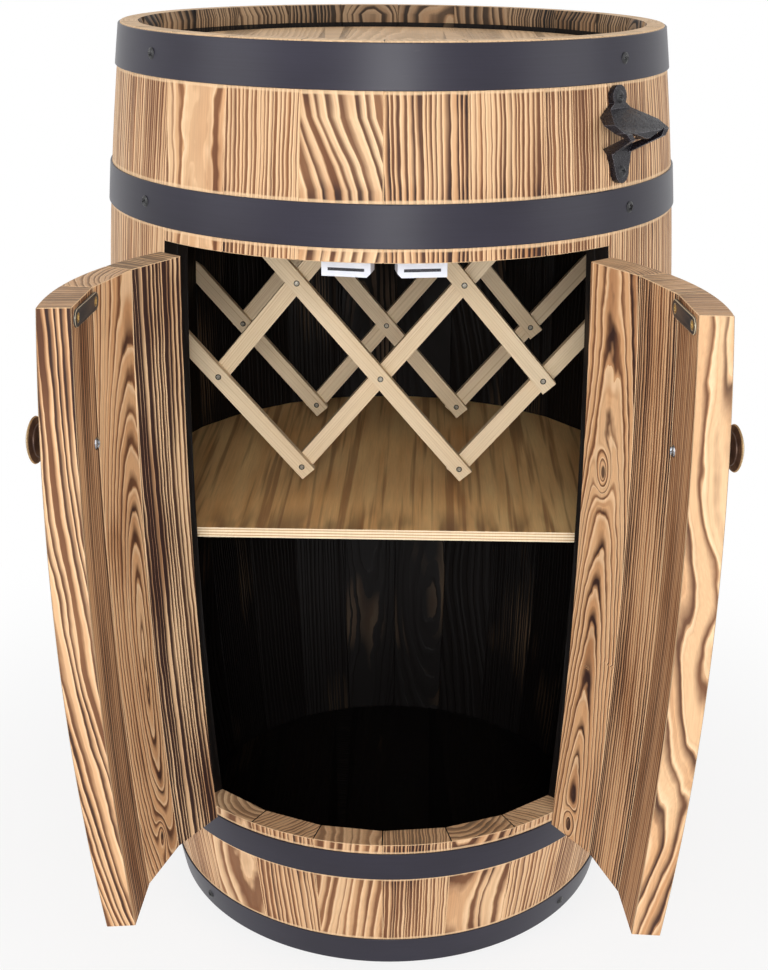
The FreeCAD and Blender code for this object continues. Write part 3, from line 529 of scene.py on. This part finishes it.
def softened(node, name, width, material, body="carcass", wear_and_painted_sheen=False):
    """A piece with the node's own shape and rounded edges; where asked, the rounded faces are marked for a
    painted edge highlight.
    """
    shell, segments = merged(node), 2
    mesh = bpy.data.meshes.new(name)
    if wear_and_painted_sheen:
        painted_highlight_faces = shell.faces.layers.float.new("wear_and_painted_sheen")
        sharp = [edge for edge in shell.edges if edge.is_manifold and edge.calc_face_angle() > crease]
        rounded = bmesh.ops.bevel(shell, geom=sharp, offset=width, offset_type="OFFSET",
                                  segments=segments, profile=0.5, affect="EDGES", clamp_overlap=True)
        for face in rounded["faces"]:
            face[painted_highlight_faces] = 1.0
    shell.to_mesh(mesh)
    shell.free()
    mesh.shade_smooth()
    mesh.set_sharp_from_angle(angle=crease)
    piece = in_scene(name, mesh)
    if not wear_and_painted_sheen:
        edges = piece.modifiers.new("edges", "BEVEL")
        edges.width, edges.segments, edges.harden_normals = width, segments, True
        edges.limit_method, edges.angle_limit = "ANGLE", crease
    dress(piece, node, material, body)
    return piece


def corners(piece):
    """The points of a piece's mesh as an array."""
    places = np.empty(3 * len(piece.data.vertices), dtype=np.float32)
    piece.data.vertices.foreach_get("co", places)
    return places.reshape(-1, 3).astype(float)


head_boards, board_shift = 5, 0.4
head_plank = plank("even", 60, burn=0.60, pith=(0.03, -0.12))
# The floor head is painted near black: charring and painted shade of the closed compartment together.
for name, char_and_shade in (("top_head_boards", 0.0), ("bottom_head_boards", 0.95)):
    low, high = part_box(name)
    head = softened(name, name.replace("_boards", ""), 0.0006, torched_pine)
    points = corners(head)
    board = np.clip((points[:, 0] - low.x) // ((high.x - low.x) / head_boards), 0, head_boards - 1)
    across = points[:, 0] - board_shift * (board - head_boards // 2)
    lay_grain(head.data, grain(across, points[:, 2] - high.z, points[:, 1], head_plank))
    face_field(head, "char_and_shade", char_and_shade)
    face_field(head, "worn", 0.0)

# ---- Hoops ----
# Four bands of 30 mm flat steel with a satin charcoal coat, rolled to the barrel's flare. Each is lapped
# and riveted at the back and kept from creeping by four black screws.
hoop_steel, steel, plug = finish("hoop_steel", IOR=1.32)
place = steel.object_place()
rolled = place.ripple((14, 14, 900), detail=3.0)
cloud = place.ripple((9, 9, 22), detail=3.0)
peel = place.ripple(scale=900, detail=1.0)
coat = (0.5 + cloud * 0.9 + rolled * 0.5).clamped().mix((36, 34, 43), (50, 48, 60))
wear_and_painted_sheen = place.noise((55, 55, 260), detail=3.0).step(0.70, 0.78)
plug(bump=peel * 0.5 + rolled * 0.5, bump_height=0.00005, Roughness=0.35 + cloud * 0.12 + wear_and_painted_sheen * 0.1,
     Base_Color=(wear_and_painted_sheen * 0.2).mix(coat, (80, 77, 80)))
hoop_thickness, hoop_seat, lap_angle = 0.0015, 0.0001, radians(11)
hoop_sides, lap_sides, width_steps = 192, 12, 6


def flared_band(low, high, inside, start, sweep, steps, round_edge=0.0004):
    """Band that follows the barrel: a thin section with cut corners carried round, its ends closed. A point's
    radius is outer_radius(level) plus how proud of the staves it lies."""
    inner, outer = inside, inside + hoop_thickness
    section = [(inner, low), (outer - round_edge, low), (outer, low + round_edge)]
    section += [(outer, low + (high - low) * k / width_steps) for k in range(1, width_steps)]
    section += [(outer, high - round_edge), (outer - round_edge, high), (inner, high)]
    proud, level = np.array(section).T
    around = start + sweep * np.arange(steps + 1) / steps
    radius = (outer_radius(level) + proud)[None, :] + 0 * around[:, None]
    points = np.stack([radius * np.sin(around)[:, None], -radius * np.cos(around)[:, None],
                       level[None, :] + 0 * radius], axis=-1)
    faces = [tuple(f) for f in grid_faces(steps + 1, len(section))[:, ::-1].tolist()]
    first = range(len(section))
    faces += [tuple(first), tuple(k + steps * len(section) for k in reversed(first))]
    return points.reshape(-1, 3), faces


def weld(piece):
    """Joins the points of a piece that lie in one place."""
    same_place = 1e-7
    shell = bmesh.new()
    shell.from_mesh(piece.data)
    bmesh.ops.remove_doubles(shell, verts=shell.verts, dist=same_place)
    shell.to_mesh(piece.data)
    shell.free()


def hoop(node):
    """A whole turn of band and a second short layer over it, which is the lap at the back."""
    low, high = (corner.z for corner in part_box(node))
    full, full_faces = flared_band(low, high, hoop_seat, pi, 2 * pi, hoop_sides)
    lap, lap_faces = flared_band(low, high, hoop_seat + hoop_thickness, pi - lap_angle / 2, lap_angle,
                                 lap_sides)
    faces = full_faces[:-2] + [tuple(k + len(full) for k in f) for f in lap_faces]
    piece = new_piece(node.replace("_hoop", "_band"), np.concatenate([full, lap]), faces)
    weld(piece)
    dress(piece, node, hoop_steel)


for node in hoop_nodes:
    hoop(node)

# ---- Screws and rivets ----
# Black pan heads hold the hoops and the opener, zinc ones the knobs and flush screws all the rest. All have
# a cross recess, and each stands where its solid stands, on an axis found from the spread of its points.


def solids(node):
    """The points of each separate solid of a CAD node."""
    shell = merged(node)
    shell.verts.ensure_lookup_table()
    seen, groups = set(), []
    for vertex in shell.verts:
        if vertex.index in seen:
            continue
        group, queue = [], [vertex]
        seen.add(vertex.index)
        while queue:
            here = queue.pop()
            group.append(here.co[:])
            for edge in here.link_edges:
                other = edge.other_vert(here)
                if other.index not in seen:
                    seen.add(other.index)
                    queue.append(other)
        groups.append(np.array(group))
    shell.free()
    return groups


def axis_of(points):
    """Axis of a turned solid: its middle, its way to the head, and each point's place along and off it.

    Of the three directions of spread, two are alike across the axis and the third is the axis.
    """
    middle = points.mean(axis=0)
    spread, directions = np.linalg.eigh(np.cov((points - middle).T))
    axis = directions[:, 2] if spread[2] - spread[1] > spread[1] - spread[0] else directions[:, 0]
    along = (points - middle) @ axis
    across = np.linalg.norm(points - middle - np.outer(along, axis), axis=1)
    if along[across.argmax()] < (along.max() + along.min()) / 2:
        axis, along = -axis, -along
    return middle, axis, along, across


screw_sides, screw_crease = 24, radians(40)
head_steps, head_edge = 9, (6, 9)


def screw_points(head, shank, length, dome, turn):
    """A screw on its axis: the head's top lies at 0 and the shank runs down.

    A profile is carried round. A domed head is rise * (1 - s ** dome_curve) high at a share s of its radius,
    and a cross is pressed into it. The named sizes are shares of the head's radius.
    """
    dome_rise, dome_curve, dome_rim, flat_rim = 0.42, 2.2, 0.12, 0.06
    arm_width, arm_length, side_slope, end_slope, cross_depth = 0.20, 0.62, 0.07, 0.1, 0.34
    rise = dome_rise * head if dome else 0.0
    top = [(head * s, rise * (1 - s ** dome_curve)) for s in np.linspace(0, 1, head_steps)]
    under = [(head, -(dome_rim if dome else flat_rim) * head)]
    neck = [(shank, -dome_rim * head if dome else shank - head)]
    radius, level = np.array(top + under + neck + [(shank, -length), (0, -length)]).T
    around = np.linspace(0, 2 * pi, screw_sides, endpoint=False)[:, None]
    x, y = radius * np.cos(around), radius * np.sin(around)
    long, short = np.maximum(np.abs(x), np.abs(y)), np.minimum(np.abs(x), np.abs(y))
    cross = np.clip((arm_width * head - short) / (side_slope * head), 0, 1)
    cross *= np.clip((arm_length * head - long) / (end_slope * head), 0, 1)
    level = level - cross_depth * head * cross * (np.arange(len(radius)) < len(top))
    return np.stack([x * cos(turn) - y * sin(turn), x * sin(turn) + y * cos(turn), level], axis=-1)


def screws(node, name, material, body="carcass", dome=False):
    """One piece with a detailed screw in the place of each solid of a node."""
    pan_share, tip_depth, least_shank, askew = 0.45, 1e-4, 0.0008, (0.3, 0.5, 0.8)
    pick = np.random.default_rng(len(name))
    points, faces = [], []
    for solid in solids(node):
        middle, axis, along, across = axis_of(solid)
        head, shank = across.max(), max(across[along < along.min() + tip_depth].max(), least_shank)
        proud = pan_share * head if dome else 0
        top, length = middle + axis * (along.max() - proud), along.max() - along.min() - proud
        grid = screw_points(head, shank, length, dome, pick.uniform(0, pi / 2))
        side = np.cross(axis, askew)
        side /= np.linalg.norm(side)
        placed = top + grid @ np.stack([side, np.cross(axis, side), axis])
        turned = grid_faces(*grid.shape[:2], open_rows=0, open_columns=1)
        faces += (turned + sum(len(p) for p in points)).tolist()
        points.append(placed.reshape(-1, 3))
    piece = new_piece(name, np.concatenate(points), faces)
    step = np.arange(len(piece.data.vertices)) % grid.shape[1]
    write_field(piece.data, "head_edge", "FLOAT", "POINT", (step >= head_edge[0]) & (step <= head_edge[1]))
    weld(piece)
    piece.data.set_sharp_from_angle(angle=screw_crease)
    dress(piece, node, material, body)


def metal(name, base, worn_colour, metallic, roughness, scale=900.0, shadowed=None):
    """Plated or coated metal with faint clouds of tone, rubbed spots and a fine grain.

    The rim of a screw's head may be of another colour, for the shadow that lies round it.
    """
    material, start, plug = finish(name, Metallic=metallic, IOR=1.5)
    where = start.object_place()
    cloud = where.ripple(scale=260, detail=3.0)
    grain = where.ripple(scale=scale * 3)
    wear_and_painted_sheen = where.noise(scale=scale, detail=3.0).step(0.52, 0.72)
    plating = (wear_and_painted_sheen * 0.6 + cloud * 0.3).clamped().mix(base, worn_colour)
    if shadowed:
        plating = start.attribute("head_edge", "Fac").mix(plating, shadowed)
    plug(bump=grain + cloud, bump_height=0.00005, Base_Color=plating,
         Roughness=roughness + cloud * 0.15 + grain * 0.1)
    return material


black_screw = metal("black_screw", (26, 26, 28), (58, 57, 60), 0.0, 0.38)
brass_screw = metal("brass_screw", (196, 162, 100), (240, 216, 156), 1.0, 0.42)
zinc_screw = metal("zinc_screw", (168, 170, 174), (222, 224, 228), 1.0, 0.26)
steel_screw = metal("steel_screw", (150, 144, 132), (214, 208, 196), 1.0, 0.34, shadowed=(30, 26, 23))
screws("pan_head_screws", "black_pan_heads", black_screw, dome=True)
screws("hoop_rivets", "black_rivets", black_screw, dome=True)

# ---- Shelf ----
# Nine millimetre plywood that fills the barrel, sawn straight in front, on four screwed pine cleats. Its
# faces are lightly torched; the sawn edge shows the pale and dark plies.
plywood, ply, plug = finish("birch_plywood", Roughness=0.55, IOR=1.45)
shelf_low, shelf_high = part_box("shelf")
plies_shown, dark_ply, torch_reach = 3.5, (0.62, 0.68), 0.06
place = ply.object_place()
_, deep, up = place.parts()
edge = ply.attribute("edge", "Fac")
long_grain = place.ripple((70, 5, 5), detail=3.0)
hairs = place.ripple((1100, 40, 40))
rays = place.noise((150, 4, 4)).step(0.50, 0.66)
burn_cloud = place.ripple((12, 7, 7))
licked = place.noise((60, 10, 9)).step(0.40, 0.64)
licked = licked * deep.step(shelf_low.y + torch_reach, shelf_low.y)
sheet = (0.36 + long_grain * 1.5 + burn_cloud).clamped()
sheet = sheet.mix((255, 214, 150), (226, 166, 104))
sheet = (rays * 0.62).mix(sheet, (150, 92, 54))
sheet = (licked * 0.6).mix(sheet, (90, 52, 32))
plies = ply.maths("FRACT", (up - shelf_low.z) / ((shelf_high.z - shelf_low.z) / plies_shown))
layer = plies.step(*dark_ply) * plies.step(1.0, 0.96)
sawn_edge = layer.mix((246, 226, 192), (196, 152, 104))
sheet = edge.mix(sheet, sawn_edge)
plug(bump=hairs + long_grain * 0.4, bump_height=0.0002, Roughness=0.52 + long_grain * 0.2,
     Base_Color=sheet.lightened(1 + hairs * 0.3))
shelf = softened("shelf", "plywood_shelf", 0.0004, plywood)
upright = np.array([abs(face.normal.z) for face in shelf.data.polygons])
face_field(shelf, "edge", upright < 0.5)

pale_pine, stick, plug = finish("pale_pine", Roughness=0.58, IOR=1.45)
log = stick.attribute("log")
log_x, log_y, _ = log.parts()
year_width, year_wander, season_rate, season_reach = 0.0021, 0.004, 0.4, 1.2
wave = log.ripple((20, 20, 3.0), detail=1.0)
place = ((log_x ** 2 + log_y ** 2) ** 0.5 + wave * year_wander) / year_width
place = place + (place * season_rate).drift(scale=5.0) * season_reach
turn, year = stick.maths("FRACT", place), stick.maths("FLOOR", place)
late = turn.step(0.35, 0.92) * turn.step(1.0, 0.95) * (0.35 + 0.65 * year.dice())
hairs = log.ripple((1100, 1100, 22))
cloud = log.ripple((24, 24, 6))
planed = (0.45 + cloud * 1.2).clamped().mix((234, 214, 182), (214, 188, 150))
planed = (late * 0.55).mix(planed, (186, 150, 108))
plug(bump=hairs * 0.8 - late * 0.5, bump_height=0.00012, Roughness=0.56 + cloud * 0.15,
     Base_Color=planed.lightened(1 + hairs * 0.22))


def straight_grain(piece, along, across, depth, seed):
    """Lays straight grain through a sawn stick; each stick of a group gets its own seed."""
    shift_across, shift_deep, shift_along = 0.013, 0.006, 0.61
    across, depth = across + shift_across * (seed % 5), depth + shift_deep * (seed % 3)
    sawn = plank("fine", 1, pith=(0.03, -0.012))
    lay_grain(piece.data, grain(across, depth, along + shift_along * seed, sawn))


cleats = softened("shelf_cleats", "pine_cleats", 0.0006, pale_pine)
points = corners(cleats)
angle = np.arctan2(points[:, 0], -points[:, 1])
middle = (np.floor(angle / stave_step) + 0.5) * stave_step
along = points[:, 0] * np.cos(middle) + points[:, 1] * np.sin(middle)
straight_grain(cleats, along, points[:, 2], np.hypot(points[:, 0], points[:, 1]), np.round(middle * 10))
screws("cleat_screws", "cleat_flush_screws", brass_screw)

# ---- Bottle lattices ----
# Untreated pine slats, three falling to the right in front of three rising ones, screwed where they
# cross. One lattice carries the necks of the bottles and one behind it their bodies.
cell_width, cell_height = 0.0705, 0.0815
slope = atan2(cell_height, cell_width)
slat_pitch = 2 * cell_width * sin(slope)
for rank in ("front", "rear"):
    for run, direction in (("falling", -1), ("rising", 1)):
        node = "%s_lattice_%s_slats" % (rank, run)
        slats = softened(node, "%s_%s_slats" % (rank, run), 0.0007, pale_pine)
        points = corners(slats)
        along = points[:, 0] * cos(slope) + direction * points[:, 2] * sin(slope)
        across = points[:, 2] * cos(slope) - direction * points[:, 0] * sin(slope)
        which = np.round((across - across.min()) / slat_pitch)
        straight_grain(slats, along, across - slat_pitch * which, points[:, 1], which + 3 * (direction + 1))
screws("lattice_screws", "lattice_flush_screws", steel_screw)

# ---- Magnetic catches ----
# Two moulded grey housings hang from pine blocks behind the header. Each holds a flat magnet between two
# steel plates that stand just proud, and two screws go up through its ears.
grey_plastic, shell, plug = finish("grey_plastic", Roughness=0.45, IOR=1.46)
where = shell.object_place()
moulded = where.ripple(scale=1800)
cloud = where.ripple(scale=120)
plug(bump=moulded, bump_height=0.00003, Roughness=0.46 + cloud * 0.12,
     Base_Color=(0.5 + cloud * 1.4).clamped().mix((214, 220, 232), (230, 234, 243)))
softened("catch_housings", "grey_housings", 0.0006, grey_plastic)
magnet_steel = metal("magnet_steel", (58, 58, 62), (104, 104, 108), 1.0, 0.4)
softened("catch_magnets", "magnets_and_plates", 0.0001, magnet_steel)
screws("catch_screws", "catch_flush_screws", brass_screw)
blocks = softened("catch_blocks", "pine_catch_blocks", 0.0006, pale_pine)
points = corners(blocks)
straight_grain(blocks, points[:, 0], points[:, 2], points[:, 1], np.sign(points[:, 0]) + 2)

# ---- Butt hinges ----
# Two plated steel butt hinges to a door, let in between the jamb and the door's edge. Their knuckles turn
# on a headed pin that stands at the outer corner of the jamb.
steel_hinge = metal("steel_hinge", (118, 112, 104), (170, 164, 154), 1.0, 0.36)
for node, name, body in (("hinge_frame_leaves", "frame_leaves", "carcass"),
                         ("left_door_hinge_leaves", "left_leaves", "left_door"),
                         ("right_door_hinge_leaves", "right_leaves", "right_door")):
    softened(node, name, 0.0003, steel_hinge, body)
softened("hinge_pins", "hinge_pin_rods", 0.0003, zinc_screw)
screws("hinge_frame_screws", "frame_leaf_screws", brass_screw)

# ---- Doors ----
# Each door is the middle of three front staves, glued edge to edge, so that it closes flush with the
# barrel. It is sawn free at the jamb and at the meeting edge and stands open at rest.
door_low, door_high = (corner.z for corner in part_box("right_door_middle_stave"))
meeting_kerf, jamb_kerf = 0.0015, 0.003
hinges = {joint["child"]: joint for joint in frame["joints"]}


def swung(points, hand):
    """Turns points of a closed door about its hinge line to where the door stands at rest."""
    joint = hinges[hand + "_door"]
    axle = np.array(joint["pos_m"])
    turn = radians(joint["range_deg"][0]) * (1 if hand == "left" else -1)
    x, y = points[:, 0] - axle[0], points[:, 1] - axle[1]
    return np.stack([x * cos(turn) - y * sin(turn) + axle[0], x * sin(turn) + y * cos(turn) + axle[1],
                     points[:, 2]], axis=-1)


door_sawn = {
    ("left", "meeting"): plank("fine", 81, tone=0.85, burn=0.80, spacing=0.0042, share=0.46),
    ("left", "middle"): plank("wavy", 82, tone=0.46, burn=0.72, pith=(-0.016, -0.048), tilt=(0.0, 0.0),
                              share=0.28, spacing=0.0042, wander=0.005, bow=(0.004, 0.018, 0.60, 0.367),
                              knots=((-0.004, -0.22, 0.004),), flares=((-0.016, 0.006, 0.25),)),
    ("left", "hinge"): plank("straight", 83, tone=0.0, burn=0.95, spacing=0.0044, share=0.66,
                             tilt=(0.02, 0.0), flares=((0.025, 0.007, 0.6),)),
    ("right", "meeting"): plank("fine", 84, tone=0.90, burn=0.60, spacing=0.0040, share=0.40,
                                tilt=(-0.05, 0.0)),
    ("right", "middle"): plank("fine", 85, tone=0.52, burn=0.66, spacing=0.0038, share=0.48,
                               flares=((-0.027, 0.006, 0.6), (0.027, 0.005, 0.5))),
    ("right", "hinge"): plank("wavy", 86, tone=0.36, burn=0.58, pith=(0.0, -0.049), tilt=(0.0, 0.0),
                              share=0.20, spacing=0.0030, wander=0.005, bow=(0.003, 0.016, 1.00, 0.54),
                              knots=((0.002, 0.095, 0.0045), (0.003, -0.235, 0.004)),
                              flares=((0.0, 0.005, 0.45), (-0.027, 0.006, 0.5))),
    ("left", "edge"): plank("straight", 87, tone=0.36, burn=0.80, pith=(0.12, -0.01), spacing=0.0050,
                            share=0.50, wander=0.016, tilt=(0.10, 0.0), bow=(0.004, 0.0, 0.62, 0.2)),
    ("right", "edge"): plank("flowing", 88, tone=0.24, burn=0.66, pith=(0.03, -0.03), spacing=0.0085,
                             share=0.18, wander=0.030, tilt=(-0.05, 0.0), bow=(0.010, 0.012, 0.34, 0.35),
                             flares=((-0.0135, 0.0025, 0.25), (0.0135, 0.0020, 0.3)))}
door_trims = {"meeting": (meeting_kerf, joint_gap), "middle": (joint_gap, joint_gap),
              "hinge": (joint_gap, jamb_kerf)}
for side, hand in ((-1, "left"), (1, "right")):
    for place, (part, trims) in enumerate(door_trims.items()):
        index = place if side > 0 else -1 - place
        piece = stave("%s_%s_plank" % (hand, part), "%s_door_%s_stave" % (hand, part), index, door_low,
                      door_high, door_sawn[hand, part], trims=trims[::side], body=hand + "_door",
                      edge_sawn=door_sawn[hand, "edge"] if part == "meeting" else None)
        piece.data.vertices.foreach_set("co", swung(corners(piece), hand).astype(np.float32).ravel())
        piece.data.update()

# ---- Door fittings ----
# A dark steel strike plate crosses the joint of two staves at the top of each door, under two brass
# screws. A turned antique brass knob stands outside, on a screw that comes through from the inside.
dark_steel, plate, plug = finish("dark_steel", Metallic=0.3, IOR=1.5)
where = plate.object_place()
brushed = where.ripple((300, 300, 2600), detail=3.0)
# Painted highlight: the plate's rounded edges, marked in softened(), go pale cream.
rim = plate.attribute("wear_and_painted_sheen", "Fac")
dark = (0.5 + brushed).clamped().mix((42, 44, 50), (60, 62, 68))
plug(bump=brushed, bump_height=0.00003, Roughness=0.36 + brushed * 0.2,
     Base_Color=rim.mix(dark, (206, 190, 158)))
antique_brass, brass, plug = finish("antique_brass", IOR=1.5)
where = brass.object_place()
tarnish = where.ripple(scale=140, detail=3.0)
fine = where.ripple(scale=1400)
# Painted highlight: the rim of the knob's head goes pale cream and its dome part way, where light would catch
# the brass.
painted_highlight = brass.attribute("painted_highlight", "Fac")
dark_brass = (0.4 + tarnish * 2).clamped().mix((64, 48, 42), (104, 82, 68))
plug(bump=fine, bump_height=0.00004, Roughness=0.40 - painted_highlight * 0.12 + fine * 0.2,
     Metallic=0.55 - painted_highlight * 0.15,
     Base_Color=(painted_highlight * (0.85 + tarnish)).clamped().mix(dark_brass, (206, 180, 138)))
rim_depth, dome_depth, dome_highlight = 0.0061, 0.0042, 0.45
for side, hand in ((-1, "left"), (1, "right")):
    body = hand + "_door"
    softened(hand + "_strike_plate", hand + "_strike", 0.0005, dark_steel, body, wear_and_painted_sheen=True)
    knob = softened(hand + "_knob", hand + "_brass_knob", 0.0004, antique_brass, body)
    middle, axis, along, _ = axis_of(corners(knob))
    centres = np.array([face.center for face in knob.data.polygons])
    below_top = along.max() - (centres - middle) @ axis
    highlight_share = np.where(below_top < rim_depth, np.where(below_top > dome_depth, 1.0, dome_highlight), 0.0)
    face_field(knob, "painted_highlight", highlight_share)
    screws(hand + "_knob_screw", hand + "_knob_bolt", zinc_screw, body, dome=True)
    screws(hand + "_door_screws", hand + "_flush_screws", brass_screw, body)

# ---- Bottle opener ----
# A cast iron opener screwed to the right of the upper band: the hood leans out from its upper lug and two
# arms return to the lower body. The casting is black and rough.
black_iron, iron, plug = finish("black_iron", IOR=1.35)
where = iron.object_place()
sand = where.ripple(scale=1100, detail=3.0)
lumps = where.ripple(scale=180)
# Painted highlight: the casting's rounded edges go pale grey in lumpy lines, as glossy edges would catch
# light.
wear_and_painted_sheen = iron.attribute("wear_and_painted_sheen", "Fac") * (0.5 + lumps * 1.6).clamped()
cast = (0.5 + sand * 1.4).clamped().mix((9, 8, 11), (32, 28, 36))
plug(bump=sand + lumps * 1.5, bump_height=0.0006, Roughness=0.27 + sand * 0.3,
     Base_Color=(wear_and_painted_sheen * 0.8).mix(cast, (190, 184, 192)))
softened("bottle_opener", "iron_opener", 0.0011, black_iron, wear_and_painted_sheen=True)

# ---- Floor and light ----
# A pale floor that fades to plain white away from the barrel, a white surround, and four soft lamps: two
# in front, one of them low, and one on each side.
floor_size = 30.0
half = floor_size / 2
floor_corners = [(-half, -half, 0), (half, -half, 0), (half, half, 0), (-half, half, 0)]
floor_mesh = bpy.data.meshes.new("floor")
floor_mesh.from_pydata(floor_corners, [], [(0, 1, 2, 3)])
in_scene("floor", floor_mesh)


def looked_at(start):
    """One for a ray that the camera sends, straight or by way of something glossy or clear; else 0."""
    seen, glossy, clear = (start.node("LightPath", output="Is %s Ray" % kind)
                           for kind in ("Camera", "Glossy", "Transmission"))
    return start.maths("MAXIMUM", seen, start.maths("MAXIMUM", glossy, clear))


floor_white, ground, plug = finish("floor_white", Roughness=0.9)
tree = floor_white.node_tree
shader, surface = tree.nodes["Principled BSDF"], tree.nodes["Material Output"].inputs["Surface"]
floor_grey = 0.86
shader.inputs["Base Color"].default_value = (floor_grey, floor_grey, floor_grey, 1)
reach = ground.node("VectorMath", {0: ground.object_place()}, output=1, operation="LENGTH")
near_white, fade = 0.78, (0.3, 0.9)
glow = ground.node("Emission", {"Color": (1, 1, 1, 1), "Strength": 1.0})
whiteness = near_white + (1 - near_white) * reach.step(*fade)
blend = ground.node("MixShader", {0: whiteness * looked_at(ground), 2: glow})
tree.links.new(shader.outputs[0], blend.socket.node.inputs[1])
tree.links.new(blend.socket, surface)
floor_mesh.materials.append(floor_white)

world = bpy.data.worlds.new("surround")
world.use_nodes = True
bpy.context.scene.world = world
background = world.node_tree.nodes["Background"]
background.inputs["Color"].default_value = (1, 1, 1, 1)
world_light = 0.50
strength = world_light + (1 - world_light) * looked_at(Field(world.node_tree))
world.node_tree.links.new(strength.socket, background.inputs["Strength"])


def lamp(name, place, target, size, power):
    """A square soft lamp that looks at a point."""
    data = bpy.data.lights.new(name, "AREA")
    data.size, data.energy = size, power
    light = in_scene(name, data)
    light.location = place
    light.rotation_euler = (Vector(target) - Vector(place)).to_track_quat("-Z", "Y").to_euler()


middle = (0, 0, height / 2)
lamp("front_lamp", (0.05, -2.6, 1.35), middle, 0.8, 27)
lamp("low_lamp", (0.0, -2.3, 0.18), middle, 0.9, 14)
lamp("left_lamp", (-2.2, -1.2, 1.4), middle, 1.4, 18)
lamp("right_lamp", (2.2, -0.8, 1.2), middle, 1.4, 14)

# ---- Camera ----
# In front of the barrel and a little above its rim, looking down at the doorway. Its lens is given as a
# focal length in pixels of the view, and its axis as a place in the view.
view_width, view_height = 768, 970
focal_pixels, axis_x, axis_y = 1387.91, 400.6, 660.0
yaw, pitch, roll = -0.0169, -0.4930, 0.0087
eye = Vector((0.0320, -1.2433, 0.8755))
forward = Vector((sin(yaw) * cos(pitch), cos(yaw) * cos(pitch), sin(pitch)))
level_right = Vector((cos(yaw), -sin(yaw), 0))
right = level_right * cos(roll) + level_right.cross(forward) * sin(roll)
up = right.cross(forward)
data = bpy.data.cameras.new("camera")
data.sensor_width = 36.0
data.lens = data.sensor_width * focal_pixels / view_height
data.shift_x = (view_width / 2 - axis_x) / view_height
data.shift_y = (axis_y - view_height / 2) / view_height
data.clip_start, data.clip_end = 0.05, 60
camera = in_scene("camera", data)
camera.matrix_world = Matrix.Translation(eye) @ Matrix((right, up, -forward)).transposed().to_4x4()
bpy.context.scene.camera = camera
bpy.context.scene.view_settings.view_transform = "Standard"
